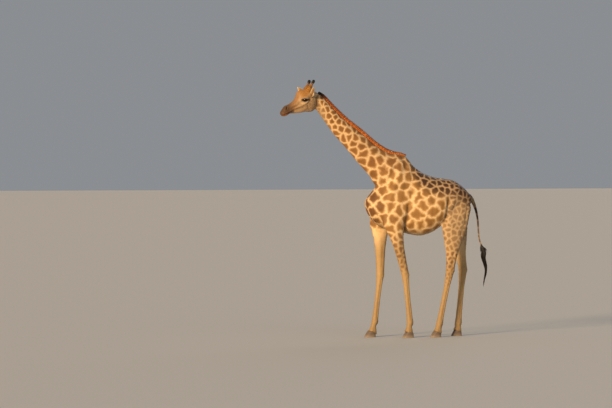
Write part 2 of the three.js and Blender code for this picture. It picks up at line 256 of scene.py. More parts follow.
# %% Floor, sky and lamps
def sun_lamp(name, toward_lamp, strength, spread_degrees, colour):
    """A lamp so far off that its light is parallel; its spread softens the edge of the shadows."""
    data = bpy.data.lights.new(name, "SUN")
    data.energy, data.angle, data.color = strength, math.radians(spread_degrees), linear(colour)[:3]
    lamp = bpy.data.objects.new(name, data)
    lamp.rotation_euler = Vector(toward_lamp).to_track_quat("Z", "Y").to_euler()
    bpy.context.scene.collection.objects.link(lamp)


HALF_FLOOR = 150.0  # metres, so that its edge is never seen
floor = mesh_object(
    "floor",
    np.array([[-1, -1, 0], [1, -1, 0], [1, 1, 0], [-1, 1, 0]]) * HALF_FLOOR,
    [np.array([[0, 1, 2, 3]])],
    smooth=False,
)
floor_finish, add = new_material("matt studio floor")
paint = add("BsdfPrincipled", {"Base Color": linear("#CFCAC0"), "Roughness": 0.9})
add("OutputMaterial", {"Surface": paint})
floor.data.materials.append(floor_finish)

sky = bpy.data.worlds.new("studio sky")
sky.use_nodes = True
sky.node_tree.nodes["Background"].inputs["Color"].default_value = linear("#DCE0E6")
sky.node_tree.nodes["Background"].inputs["Strength"].default_value = 0.36
bpy.context.scene.world = sky
bpy.context.scene.view_settings.view_transform = "Standard"
sun_lamp("key", (-0.73, -0.66, 0.18), 4.65, 11, "#FFDDB0")
sun_lamp("fill", (0.20, -0.90, 0.45), 0.25, 40, "#E6ECF6")
sun_lamp("back", (0.50, 0.80, 0.35), 0.45, 30, "#E6ECF6")

# %% [markdown]
# ## One skin
# Real skin has no seams, but the solids are parted where a person would name the parts. So copies
# of the flesh solids are fused: a voxel remesh reads all of them as one volume and wraps it in even
# quads. Its facets are then relaxed, more on the barrel than on the bony legs and head.

# %% Fuse the flesh
FLESH = ["head", "neck", "trunk", *LEG_JOINTS]
VOXEL = 0.0150
JOIN_OVERLAP = 0.0006  # closes the thin cuts between the solids


def fused_flesh():
    """Merges a copy of each solid, swells it by the overlap, joins the copies and remeshes them."""
    bm = bmesh.new()
    for name in FLESH:
        part = bmesh.new()
        part.from_mesh(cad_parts[name].data)
        bmesh.ops.remove_doubles(part, verts=part.verts, dist=1e-5)
        part.normal_update()
        for vert in part.verts:
            vert.co += vert.normal * JOIN_OVERLAP
        mesh = bpy.data.meshes.new("part")
        part.to_mesh(mesh)
        part.free()
        bm.from_mesh(mesh)
        bpy.data.meshes.remove(mesh)
    mesh = bpy.data.meshes.new("skin")
    bm.to_mesh(mesh)
    bm.free()
    piece = bpy.data.objects.new("skin", mesh)
    bpy.context.scene.collection.objects.link(piece)
    remesh = piece.modifiers.new("fuse", "REMESH")
    remesh.mode, remesh.voxel_size = "VOXEL", VOXEL
    shape = bpy.data.meshes.new_from_object(piece.evaluated_get(bpy.context.evaluated_depsgraph_get()))
    piece.modifiers.clear()
    piece.data = shape
    return piece


skin = fused_flesh()
print("fused skin:", len(skin.data.vertices), "points,", len(skin.data.polygons), "faces")


# %% Relax the facets
def edge_ends(mesh):
    """The two point numbers of each edge, as rows."""
    ends = np.empty(len(mesh.edges) * 2, np.int32)
    mesh.edges.foreach_get("vertices", ends)
    return ends.reshape(-1, 2)


def neighbour_sum(values, ends):
    """For each point, the sum of its neighbours' rows over all edges."""
    (a, b), count = ends.T, len(values)
    return np.stack([
        np.bincount(a, column[b], count) + np.bincount(b, column[a], count) for column in values.T
    ], axis=1)


def relaxed(points, ends, strength, rounds):
    """Taubin's smoothing: step towards the mean of the neighbours, then a slightly longer step back."""
    neighbours = np.bincount(ends.ravel(), minlength=len(points))[:, None]
    for step in (0.5, -0.53) * rounds:
        mean = neighbour_sum(points, ends) / neighbours
        points = points + step * strength[:, None] * (mean - points)
    return points


skin_points = points_of(skin.data)
ends = edge_ends(skin.data)
head_place = in_head(skin_points)
on_skull = smoothstep(-0.10, 0.06, head_place[:, 0]) * (skin_points[:, 2] > 3.0)
on_shank = smoothstep(1.55, 1.25, skin_points[:, 2])
bony = np.maximum(on_skull, on_shank)
BARREL_ROUNDS, LAST_ROUNDS = 60, 6
skin_points = relaxed(skin_points, ends, 1 - 0.97 * bony, BARREL_ROUNDS)
skin_points = relaxed(skin_points, ends, np.full(len(skin_points), 0.7), LAST_ROUNDS)
set_points(skin.data, skin_points)


# %% [markdown]
# ## Ears and tail
# Both are too thin for the voxels, so each is a surface of its own, worked out on a grid, and a
# Boolean union welds it to the skin. An ear is a leaf rolled into a cup: its width swells and
# tapers along its length, its edges come forward, and a second sheet behind it gives it thickness.
# The tail is a tube whose ring grows from a thin whip to the broad dock under the rump.

# %% Ears
EAR_ROOT = (0.098, 0.078, 0.046)
EAR_REACH, EAR_HALF, EAR_CUP = 0.218, 0.052, 0.020
EAR_THICKNESS = 0.0058
EAR_TURN = {"left": (0.14, 0.6), "right": (0.34, 0.7)}  # turned forward, raised
EAR_GIRTH = np.array([[-0.2, 0.30], [-0.05, 0.36], [0.08, 0.52], [0.22, 0.82], [0.4, 1.0], [0.55, 0.98],
                      [0.72, 0.78], [0.88, 0.44], [0.97, 0.18], [1.0, 0.05]])


def closed_rings(rows, columns):
    """Faces of rings stored one after another, with the first and the last end's point after them."""
    i, j = np.meshgrid(np.arange(rows - 1), np.arange(columns), indexing="ij")
    k = (j + 1) % columns
    corners = [i * columns + j, i * columns + k, (i + 1) * columns + k, (i + 1) * columns + j]
    ring = np.arange(columns)
    last = (rows - 1) * columns + ring
    first_cap = np.stack([np.roll(ring, -1), ring, np.full(columns, rows * columns)], axis=1)
    last_cap = np.stack([last, np.roll(last, -1), np.full(columns, rows * columns + 1)], axis=1)
    return [np.stack(corners, axis=-1).reshape(-1, 4), np.vstack([first_cap, last_cap])]


def ear_frame(side):
    """Root, direction along the ear, direction across it and direction that its hollow faces."""
    sign = -SIDE[side]
    forward, raised = EAR_TURN[side]
    reach = unit(head_left * sign * 0.75 + level_ahead * forward + np.array([0, 0, raised]))
    facing = unit(level_ahead - reach * (level_ahead @ reach))
    root = on_head(EAR_ROOT[0], sign * EAR_ROOT[1], EAR_ROOT[2])
    return root, reach, np.cross(reach, facing), facing


def ear_surface(side, rows=40, columns=22):
    """Closed leaf: a ring round each station runs over the back and returns inside the hollow.

    Across the ear the sheet bends forward by cup times the square of the place from the middle,
    and the two faces of the ring stand half a thickness before and behind that sheet.
    """
    root, reach, across, facing = ear_frame(side)
    share = np.linspace(EAR_GIRTH[0, 0], 1.0, rows)
    girth = np.interp(share, EAR_GIRTH[:, 0], EAR_GIRTH[:, 1]) * EAR_HALF
    turn = np.linspace(0, 2 * np.pi, columns, endpoint=False)
    place_across = np.cos(turn)
    skin_side = np.sign(np.sin(turn)) * np.abs(np.sin(turn)) ** 0.5 * EAR_THICKNESS / 2
    curl = EAR_CUP * (1.15 + 0.9 * smoothstep(0.5, 0.0, share))
    hollow = place_across[None, :] ** 2 * curl[:, None] * (girth / EAR_HALF)[:, None]
    sag = -0.35 * EAR_CUP * np.sin(np.pi * np.clip(share, 0, 1))
    tip_bend = 0.010 * np.clip(share, 0, 1) ** 3
    thin = np.minimum(1, girth / (0.25 * EAR_HALF))
    points = (
        root
        + reach * (share * EAR_REACH)[:, None, None]
        + across * (girth[:, None] * place_across)[..., None]
        + facing * (hollow + (sag + tip_bend)[:, None] - skin_side * thin[:, None])[..., None]
    )
    points = points.reshape(-1, 3)
    tip = root + reach * (EAR_REACH + 0.002) + facing * (sag[-1] + tip_bend[-1])
    base = points[:columns].mean(axis=0)
    points = np.vstack([points, base, tip])
    return points, closed_rings(rows, columns)


# %% Tail
# behind the barrel's middle, height, half width, half depth
TAIL_RINGS = [
    (0.640, 2.060, 0.030, 0.034), (0.700, 2.072, 0.030, 0.034), (0.768, 2.030, 0.032, 0.034),
    (0.822, 1.950, 0.025, 0.024), (0.866, 1.830, 0.018, 0.017), (0.890, 1.700, 0.014, 0.0135),
    (0.900, 1.560, 0.0115, 0.0105), (0.912, 1.430, 0.0105, 0.0095), (0.950, 1.316, 0.0105, 0.0095),
    (0.964, 1.290, 0.004, 0.004),
]


def smooth_rows(rows, count):
    """Rows of numbers spread evenly along their own length, joined by a Catmull-Rom curve."""
    rows = np.asarray(rows, float)
    padded = np.vstack([2 * rows[0] - rows[1], rows, 2 * rows[-1] - rows[-2]])
    u = np.linspace(0, len(rows) - 1, count)
    i = np.minimum(u.astype(int), len(rows) - 2)
    t = (u - i)[:, None]
    a, b, c, d = (padded[i + k] for k in range(4))
    return 0.5 * (2 * b + (c - a) * t + (2 * a - 5 * b + 4 * c - d) * t**2 + (3 * b - a - 3 * c + d) * t**3)


def tube(centres, half_across, half_deep, columns, across=(0, 1, 0)):
    """A closed tube: each ring stands square to the path, an ellipse of the given halves."""
    along = unit(np.gradient(centres, axis=0))
    side = unit(np.asarray(across) - along * (along @ np.asarray(across))[:, None])
    deep = np.cross(along, side)
    turn = np.linspace(0, 2 * np.pi, columns, endpoint=False)
    points = (
        centres[:, None]
        + side[:, None] * (half_across[:, None] * np.cos(turn))[..., None]
        + deep[:, None] * (half_deep[:, None] * np.sin(turn))[..., None]
    ).reshape(-1, 3)
    return np.vstack([points, centres[0], centres[-1]]), closed_rings(len(centres), columns)


TAIL_STEPS = 60
tail_rows = smooth_rows(TAIL_RINGS, TAIL_STEPS)
tail_path = np.stack([BARREL + tail_rows[:, 0], np.zeros(TAIL_STEPS), tail_rows[:, 1]], axis=1)
print("tail length m:", round(float(np.linalg.norm(np.diff(tail_path, axis=0), axis=1).sum()), 2))


# %% [markdown]
# ## Finer mesh where it is needed, and the depth of the coat
# The barrel is broad and plain, so its quads may be coarse. The legs carry tendons and small bones,
# and the face far smaller things still, so their quads are split: the lower legs once, the head
# twice, the rims of the eyes three times. Then the whole skin sinks by the depth of the coat, which
# is shortest on the face and feet.


# %% Refine and sink the skin
def split_where(piece, wanted):
    """Splits each edge whose two ends are wanted, and the faces with it."""
    bm = bmesh.new()
    bm.from_mesh(piece.data)
    edges = [e for e in bm.edges if wanted[e.verts[0].index] and wanted[e.verts[1].index]]
    bmesh.ops.subdivide_edges(bm, edges=edges, cuts=1, use_grid_fill=True, smooth=0)
    bm.to_mesh(piece.data)
    bm.free()


def near(points, centre, radius):
    """True where a point is closer to the centre than the radius."""
    return np.linalg.norm(points - centre, axis=1) < radius


def around_eyes(points, radius):
    """True where a point is within the radius of either eye."""
    return near(points, eye_centre["left"], radius) | near(points, eye_centre["right"], radius)


for level in range(3):
    p = points_of(skin.data)
    seat = in_head(p)
    head_here = (seat[:, 0] > 0.0) & (p[:, 2] > 3.05)
    if level == 0:
        wanted = (p[:, 2] < 0.93) | head_here | ((p[:, 2] > 3.0) & (p[:, 0] < BARREL - 0.9))
    elif level == 1:
        wanted = around_eyes(p, 0.075) | (head_here & (seat[:, 0] > 0.43))
    else:
        wanted = around_eyes(p, 0.047)
    split_where(skin, wanted)
    p, ends = points_of(skin.data), edge_ends(skin.data)
    seat = in_head(p)
    smooth_here = (p[:, 2] < 0.95) | ((seat[:, 0] > -0.02) & (p[:, 2] > 3.0))
    set_points(skin.data, relaxed(p, ends, smooth_here * 1.0, 8))
    print("level", level, "faces:", len(skin.data.polygons))


def coat_depth(points):
    """Metres from the skin to the tips of the coat: 6 mm on the body, 2.5 mm on face and feet."""
    seat = in_head(points)
    face = smoothstep(0.0, 0.25, seat[:, 0]) * (points[:, 2] > 3.0)
    foot = smoothstep(0.9, 0.3, points[:, 2])
    return 0.006 - 0.0035 * np.maximum(face, foot)


p, n = points_of(skin.data), normals_of(skin.data)
set_points(skin.data, p - n * coat_depth(p)[:, None])
print("refined skin:", len(skin.data.polygons), "faces")


# %% Weld the ears and the tail to the skin
def weld(piece, other):
    """Boolean union, applied at once; the other object goes."""
    join = piece.modifiers.new("weld", "BOOLEAN")
    join.operation, join.object, join.solver = "UNION", other, "MANIFOLD"
    shape = bpy.data.meshes.new_from_object(piece.evaluated_get(bpy.context.evaluated_depsgraph_get()))
    piece.modifiers.clear()
    piece.data = shape
    bpy.data.objects.remove(other)


ear_points = {side: ear_surface(side) for side in ("left", "right")}
for side, (points, faces) in ear_points.items():
    weld(skin, mesh_object(f"ear_{side}_sheet", points, faces))
weld(skin, mesh_object("tail_tube", *tube(tail_path, tail_rows[:, 2], tail_rows[:, 3], 14)))
bm = bmesh.new()
bm.from_mesh(skin.data)
bmesh.ops.dissolve_degenerate(bm, dist=1e-5, edges=bm.edges)
bm.to_mesh(skin.data)
bm.free()
print("welded skin:", len(skin.data.vertices), "points,", len(skin.data.polygons), "faces")


# %% [markdown]
# ## Bone, muscle and tendon under the skin
# The skin now has the right outline, but it is as plain as a balloon. A sculptor would press the
# hollows and build up the ridges with strokes of a thumb. Here a stroke is a path drawn on the side
# of the animal: each point of the skin moves along its normal by the stroke's height, times a bell
# curve of its distance from the path. Hollows have a negative height.

# %% Strokes
def stroke(flat, path, width, height):
    """height * exp(-(d / width)^2), where d is the distance from the path in the drawing plane."""
    path = np.asarray(path, float)
    nearest = np.full(len(flat), np.inf)
    if len(path) == 1:
        nearest = np.linalg.norm(flat - path[0], axis=1)
    for a, b in zip(path[:-1], path[1:]):
        step = b - a
        t = np.clip((flat - a) @ step / (step @ step), 0, 1)
        nearest = np.minimum(nearest, np.linalg.norm(flat - a - t[:, None] * step, axis=1))
    return height * np.exp(-((nearest / width) ** 2))


# %% Strokes on the face
NOSTRIL_LINE = [(0.506, 0.068), (0.524, 0.056), (0.541, 0.042)]
MOUTH_LINE = [(0.435, -0.030), (0.452, -0.021), (0.490, -0.016), (0.540, -0.014), (0.590, -0.011),
              (0.630, -0.006)]
# path as (along, above) on the head, width, height
FACE_STROKES = [
    ([(0.285, 0.066), (0.262, 0.092), (0.225, 0.100), (0.188, 0.088), (0.166, 0.060)],
     0.013, 0.0075),  # brow
    ([(0.315, 0.050), (0.285, 0.046)], 0.020, -0.0065),  # hollow before the eye
    ([(0.165, 0.022), (0.225, 0.004), (0.30, -0.002), (0.39, 0.000)], 0.013, 0.0065),  # cheekbone
    ([(0.285, -0.045), (0.345, -0.040), (0.41, -0.026)], 0.024, -0.0095),  # hollow of the cheek
    ([(0.125, -0.045), (0.140, -0.085)], 0.045, 0.0085),  # jaw muscle
    ([(0.213, -0.020), (0.214, -0.075), (0.190, -0.118)], 0.011, -0.0045),  # front edge of it
    ([(0.130, -0.150), (0.220, -0.122), (0.330, -0.095), (0.440, -0.062)], 0.012, 0.0045),  # jawbone
    ([(0.200, 0.072), (0.165, 0.076), (0.120, 0.078)], 0.030, 0.0140),  # arch behind the eye
    ([(0.035, 0.000), (0.048, -0.060), (0.062, -0.128)], 0.014, -0.0085),  # behind the jaw
    ([(0.335, 0.055), (0.42, 0.050), (0.49, 0.055)], 0.016, 0.0045),  # edge of the nose bone
    ([(0.345, 0.022), (0.44, 0.018)], 0.013, -0.0055),  # hollow along the nose
    ([(0.492, 0.084), (0.512, 0.081), (0.534, 0.068), (0.550, 0.048)], 0.010, 0.0062),  # nostril's top rim
    ([(0.500, 0.052), (0.522, 0.040), (0.542, 0.030)], 0.008, 0.0040),  # lower nostril rim
    (NOSTRIL_LINE, 0.0052, -0.0135),  # nostril
    (MOUTH_LINE, 0.0042, -0.0085),  # mouth
    ([(0.480, -0.003), (0.540, 0.001), (0.600, 0.004)], 0.0105, 0.0050),  # upper lip
    ([(0.480, -0.030), (0.535, -0.031), (0.585, -0.027)], 0.0085, 0.0040),  # lower lip
    ([(0.545, -0.050)], 0.020, 0.0045),  # chin
    ([(0.424, -0.044), (0.432, -0.022), (0.446, -0.006)], 0.0065, -0.0035),  # fold at the mouth corner
    ([(0.408, -0.048), (0.416, -0.022), (0.430, -0.002)], 0.0065, -0.0022),
    ([(0.080, 0.075), (0.100, 0.040), (0.115, 0.010)], 0.018, 0.0060),  # muscle under the ear
]

# %% Strokes on the body
# path as (behind the middle of the barrel, height), width, height, for the sides of the body
BODY_STROKES = [
    ([(-0.31, 2.52), (-0.43, 2.25), (-0.54, 1.98)], 0.036, 0.012),  # ridge of the shoulder blade
    ([(-0.43, 2.48), (-0.57, 2.20), (-0.67, 2.00)], 0.034, -0.012),  # before the shoulder
    ([(-0.15, 2.40), (-0.20, 2.14), (-0.235, 1.92)], 0.045, -0.012),  # behind the shoulder
    ([(-0.262, 1.92), (-0.275, 1.76), (-0.290, 1.58)], 0.026, -0.026),  # behind the elbow
    ([(-0.37, 1.95), (-0.35, 1.80)], 0.085, 0.014),  # upper arm
    ([(-0.67, 1.88)], 0.065, 0.014),  # point of the shoulder
    ([(-0.56, 1.80), (-0.50, 1.66)], 0.026, -0.009),  # before the forearm
    ([(0.405, 2.06), (0.375, 1.90)], 0.075, -0.018),  # hollow of the flank
    ([(0.355, 1.98), (0.322, 1.80), (0.300, 1.60)], 0.026, -0.018),
    ([(0.450, 2.10), (0.410, 1.90), (0.372, 1.66)], 0.030, 0.011),  # front edge of the thigh
    ([(0.505, 2.165)], 0.045, 0.014),  # hip bone
    ([(0.725, 2.035)], 0.040, 0.010),  # pin bone
    ([(0.665, 1.98), (0.625, 1.72), (0.560, 1.48)], 0.020, -0.008),  # back of the thigh
    ([(0.405, 1.63)], 0.050, 0.010),  # stifle
    ([(-0.60, 2.33), (-0.86, 2.62), (-1.15, 2.92), (-1.45, 3.26)], 0.030, -0.006),  # groove of neck
    ([(-0.52, 2.47), (-0.78, 2.72), (-1.06, 2.98), (-1.36, 3.28)], 0.045, 0.006),  # bones of the neck
]
RIBS = [([(0.02 + 0.075 * k, 2.16), (0.075 + 0.075 * k, 1.94), (0.06 + 0.070 * k, 1.74)], 0.019, 0.0028)
        for k in range(-2, 4)]


# %% Strokes on the legs
def leg_strokes(leg):
    """Bulges and grooves of one leg, set out from its joints: (path, width, height)."""
    upper, middle, lower, foot = joints[leg][1:, [0, 2]]
    shank = lower - middle
    rear = unit(np.array([-shank[1], shank[0]]))
    rear *= np.sign(rear[0])
    thigh = upper - middle

    def spot(t, back):
        """A share t down the cannon bone, and back from it."""
        return middle + shank * t + rear * back

    def above(t, back):
        """A share t up from the knee or hock, and back."""
        return middle + thigh * t + rear * back

    shared = [
        ([spot(0.10, 0.010), spot(0.5, 0.008), spot(0.90, 0.010)], 0.0085, -0.0045),  # beside the tendon
        ([spot(0.12, 0.030), spot(0.5, 0.024), spot(0.88, 0.030)], 0.0095, 0.0025),  # the tendon
        ([spot(1.0, 0.0)], 0.026, 0.0050),  # fetlock
        ([(lower + foot) / 2 + rear * 0.004], 0.022, -0.0040),  # pastern
    ]
    if leg.startswith("fore"):
        return shared + [
            ([spot(0.0, -0.020), spot(-0.03, -0.016)], 0.030, 0.0060),  # knee cap
            ([spot(0.02, 0.036)], 0.018, 0.0065),  # bone behind the knee
            ([above(0.18, 0.012), above(0.55, 0.018)], 0.013, -0.0050),  # between the forearm muscles
            ([above(0.40, -0.016), above(0.72, -0.020)], 0.030, 0.0060),
        ]
    return shared + [
        ([above(0.03, 0.042), above(0.0, 0.048)], 0.016, 0.0060),  # point of the hock
        ([above(0.08, 0.012), above(0.34, 0.014)], 0.015, -0.0100),  # before the heel cord
        ([above(0.08, 0.038), above(0.34, 0.042)], 0.010, 0.0030),  # heel cord
        ([spot(0.02, -0.012)], 0.024, 0.0050),
    ]


# %% Press the strokes into the skin
p, n = points_of(skin.data), normals_of(skin.data)
seat = in_head(p)
is_head = (seat[:, 0] > 0.0) & (p[:, 2] > 3.05) & (seat[:, 2] < 0.15)
side_face = np.abs(n @ head_left)
move = np.zeros(len(p))
for path, width, height in FACE_STROKES:
    move += stroke(seat[:, [0, 2]], path, width, height) * is_head * smoothstep(0.10, 0.50, side_face)
flat = np.stack([p[:, 0] - BARREL, p[:, 2]], axis=1)
is_body = (p[:, 2] > 1.42) & ~((seat[:, 0] > -0.05) & (p[:, 2] > 3.0))
for path, width, height in BODY_STROKES + RIBS:
    move += stroke(flat, path, width, height) * is_body * smoothstep(0.25, 0.70, np.abs(n[:, 1]))
world = p[:, [0, 2]]
for leg in LEG_JOINTS:
    mine = (np.sign(p[:, 1]) == SIDE[leg.split("_")[1]]) & (p[:, 2] < 1.45)
    mine &= (p[:, 0] < BARREL - 0.1) == leg.startswith("fore")
    for path, width, height in leg_strokes(leg):
        move += stroke(world, path, width, height) * mine * smoothstep(0.0, 0.45, np.abs(n[:, 1]))
p = p + n * move[:, None]
stroke_count = len(FACE_STROKES) + len(BODY_STROKES) + len(RIBS) + sum(len(leg_strokes(k)) for k in joints)
print("strokes:", stroke_count, "largest move mm:", round(float(np.abs(move).max() * 1000), 1))

# %% Feet, breast and forehead
# the skin spreads over the tops of the claws and dips behind them to the heels
CORONET_FLARE = 0.24  # share by which the skin widens there
for leg in LEG_JOINTS:
    foot = joints[leg][-1]
    away = p - foot
    mine = (np.abs(away[:, 1]) < 0.10) & (np.abs(away[:, 0]) < 0.12)  # only this foot
    low = smoothstep(0.170, 0.100, p[:, 2]) * mine
    heel = smoothstep(0.0, 0.035, away[:, 0])
    p[:, 0] += low * (0.024 * heel + CORONET_FLARE * np.minimum(away[:, 0], 0))
    p[:, 1] += low * CORONET_FLARE * away[:, 1]
    p[:, 2] -= low * (0.006 + 0.018 * heel)
# a groove down the breast and a soft third horn on the forehead, both on the midline
breast = (p[:, 0] < BARREL - 0.6) & (p[:, 2] > 1.62) & (p[:, 2] < 2.1)
groove = np.exp(-((p[:, 1] / 0.022) ** 2)) * breast * smoothstep(1.62, 1.75, p[:, 2])
p[:, 0] += 0.012 * groove * (n[:, 0] < -0.2)
forehead = np.exp(-(((seat[:, 0] - 0.255) / 0.040) ** 2) - (seat[:, 1] / 0.030) ** 2)
p += head_up * (0.006 * forehead * (seat[:, 2] > 0.12))[:, None]
set_points(skin.data, p)
print("breast and forehead points moved:", int((groove > 0.1).sum()), int((forehead > 0.1).sum()))


# %% [markdown]
# ## Eyelids
# The lids lie on the eyeball like a blanket on a globe. The skin round each eye is lifted onto a
# ball a little wider than the eye, in a smooth swelling that makes the orbit. Inside the opening,
# which is an almond drawn in polar form, the skin is pressed behind the eyeball, and the points
# nearest to its rim are moved onto it, so that the edge of the lid is clean.

# %% The eye's opening
ALMOND = {"long": 0.0262, "upper": 0.0140, "lower": 0.0115, "power": 1.6}
CORNER_DROP = 0.06  # the inner corner stands lower by this share of its distance


def eye_axes(side):
    """Out of the eye, level towards the nose, and up."""
    sign = -SIDE[side]
    out = unit(head_left * sign + head_ahead * 0.22 - head_up * 0.02)
    ahead = unit(head_ahead * 0.25 + level_ahead * 0.75)
    level = unit(ahead - out * (out @ ahead))
    return out, level, np.cross(out, level) * sign


def almond_radius(a, b):
    """Radius of the opening in a unit direction: (|a / long|^k + |b / tall|^k)^(-1 / k)."""
    tall = np.where(b > 0, ALMOND["upper"], ALMOND["lower"])
    k = ALMOND["power"]
    return ((np.abs(a) / ALMOND["long"]) ** k + (np.abs(b) / tall) ** k) ** (-1 / k)


def in_eye(points, side):
    """Place level and up from the eye's axis, place out along it, radius, and radius in openings."""
    out, level, rise = eye_axes(side)
    away = points - eye_centre[side]
    a, b, c = away @ level, away @ rise, away @ out
    b = b + CORNER_DROP * a
    r = np.maximum(np.hypot(a, b), 1e-6)
    return a, b, c, r, r / almond_radius(a / r, b / r)


# %% Lids
LID = 0.0030  # thickness of the lid over the eyeball
LID_EDGE = 0.0020  # the same at its rim
LID_PASSES = 1.30  # openings from the axis where the rim has passed into the lid


for side in ("left", "right"):
    out, level, rise = eye_axes(side)
    p = points_of(skin.data)
    a, b, c, r, share = in_eye(p, side)
    here = (r < 0.075) & (c > -0.03)
    snap_out = here & (share >= 1.0) & (share < 1.13)
    snap_in = here & (share >= 0.84) & (share < 1.0)
    scale = np.where(snap_out, 1.0 / share, np.where(snap_in, 0.965 / share, 1.0))
    p = p + (level * (a * (scale - 1))[:, None] + rise * (b * (scale - 1))[:, None])
    a, b, c, r, share = in_eye(p, side)
    ball = EYE_RADIUS + LID
    u = r / ball
    orbit = 0.6614 * np.exp(-1.30 * (u - 0.75))
    swell = ball * np.where(u < 0.75, np.sqrt(np.clip(1 - u**2, 0, 1)), orbit)
    fade = smoothstep(0.074, 0.040, r)
    crease = 0.0016 * np.exp(-(((share - 1.55) / 0.16) ** 2)) * (b > 0)
    bag = 0.0012 * np.exp(-(((share - 1.75) / 0.18) ** 2)) * (b < 0)
    lifted = 0.5 * (c + swell + np.sqrt((c - swell) ** 2 + 0.004**2)) - crease - bag
    lid_edge = np.sqrt(np.clip((EYE_RADIUS + LID_EDGE) ** 2 - r**2, 0, None))
    from_edge = lid_edge + (lifted - lid_edge) * smoothstep(0.98, LID_PASSES, share)
    lifted = np.where(share < LID_PASSES, from_edge, lifted)
    behind = np.sqrt(np.clip((EYE_RADIUS - 0.0006) ** 2 - r**2, 0, None))
    behind = behind - 0.006 * smoothstep(0.98, 0.80, share)
    target = np.where(share < 0.99, behind, c + (lifted - c) * fade)
    p = p + out * ((target - c) * here)[:, None]
    set_points(skin.data, p)
print("lid opening mm:", 2000 * ALMOND["long"], "by", 1000 * (ALMOND["upper"] + ALMOND["lower"]))


# %% [markdown]
# ## Eyes
# A giraffe's eye is a big dark ball, with a clear cornea that bulges a little in front of a brown
# iris and a pupil that lies level. The ball is a sphere of rings round its own axis, and the cornea
# is a low swelling of the front rings. Its colours follow the angle from the axis, kept as
# attributes, so they stay where they are from any side.


# %% Eyeballs
def eyeball(side, rows=40, columns=48):
    """Rings at equal angles from the axis; the front 36 degrees swell by up to 4 % of the radius."""
    axis, level, rise = eye_axes(side)
    angle = np.linspace(0, np.pi, rows + 2)[1:-1]
    turn = np.linspace(0, 2 * np.pi, columns, endpoint=False)
    swell = 1 + 0.04 * smoothstep(math.radians(38), math.radians(26), angle)
    radius = EYE_RADIUS * swell
    points = (
        axis * (radius * np.cos(angle))[:, None, None]
        + level * ((radius * np.sin(angle))[:, None] * np.cos(turn))[..., None]
        + rise * ((radius * np.sin(angle))[:, None] * np.sin(turn))[..., None]
    ).reshape(-1, 3)
    points = np.vstack([points, axis * EYE_RADIUS * 1.04, -axis * EYE_RADIUS]) + eye_centre[side]
    faces = [f[:, ::-1] for f in closed_rings(rows, columns)]
    piece = mesh_object(f"eyeball_{side}", points, faces)
    off_axis = unit(points - eye_centre[side])
    along_pupil, up_pupil = off_axis @ level, off_axis @ rise
    front_half = off_axis @ axis > 0
    off = np.degrees(np.arcsin(np.hypot(along_pupil, up_pupil).clip(0, 1)))
    mark(piece, {
        "iris_angle": np.where(front_half, off, 90.0),
        "pupil_reach": np.where(front_half, np.hypot(along_pupil / 0.30, up_pupil / 0.15), 9.0),
        "iris_turn": np.arctan2(up_pupil, along_pupil),
    })
    outward(piece)
    return piece


eyeballs = {side: eyeball(side) for side in ("left", "right")}
print("eyeballs:", [len(piece.data.polygons) for piece in eyeballs.values()])


# %% [markdown]
# ## Horns
# A giraffe's two horns are bone grown from the skull and covered in hide, thick at the foot, thin
# in the stem and knobbed at the top, where a young animal or a cow keeps a tuft of black hair. Each
# is a round profile carried up a straight line, sunk a little into the skull.

# %% Horn cores
HORN_FOOT, HORN_TIP = (0.070, 0.044, 0.160), (-0.023, 0.066, 0.231)
# share of the way up, radius
HORN_PROFILE = [(-0.34, 0.0400), (-0.12, 0.0375), (0.05, 0.0325), (0.2, 0.0255), (0.36, 0.0185),
                (0.5, 0.0155), (0.64, 0.0150), (0.76, 0.0168), (0.88, 0.0200), (0.98, 0.0205),
                (1.06, 0.0175), (1.11, 0.0105), (1.13, 0.002)]
HORN_RINGS = 44


def horn_line(side, share):
    """Points on the straight line from the horn's foot (0) to its tip (1)."""
    sign = -SIDE[side]
    foot = on_head(HORN_FOOT[0], sign * HORN_FOOT[1], HORN_FOOT[2])
    tip = on_head(HORN_TIP[0], sign * HORN_TIP[1], HORN_TIP[2])
    return foot + (tip - foot) * np.asarray(share)[..., None]


horn_rows = smooth_rows(HORN_PROFILE, HORN_RINGS)
horns = {}
for side in ("left", "right"):
    path = horn_line(side, horn_rows[:, 0])
    wobble = 1 + 0.03 * np.sin(np.arange(HORN_RINGS) * 0.9 + (side == "left"))
    horns[side] = mesh_object(
        f"horn_core_{side}",
        *tube(path, horn_rows[:, 1] * wobble, horn_rows[:, 1] * 1.06 * wobble, 24, across=head_left),
    )
    outward(horns[side])
print("horns:", [len(piece.data.polygons) for piece in horns.values()])


# %% [markdown]
# ## Hooves
# Each foot has two claws of dark horn. A claw is a rounded wall that leans forward, flatter towards
# the cleft, with fine growth rings round it and a flat sole on the ground. Its wall is a grid of
# rings from the coronet down, closed by a sole and a top under the hair.

# %% Claws
TOE_LEAN, HEEL_LEAN = 0.38, 0.036  # how far the wall leans over its height, in lengths of the claw


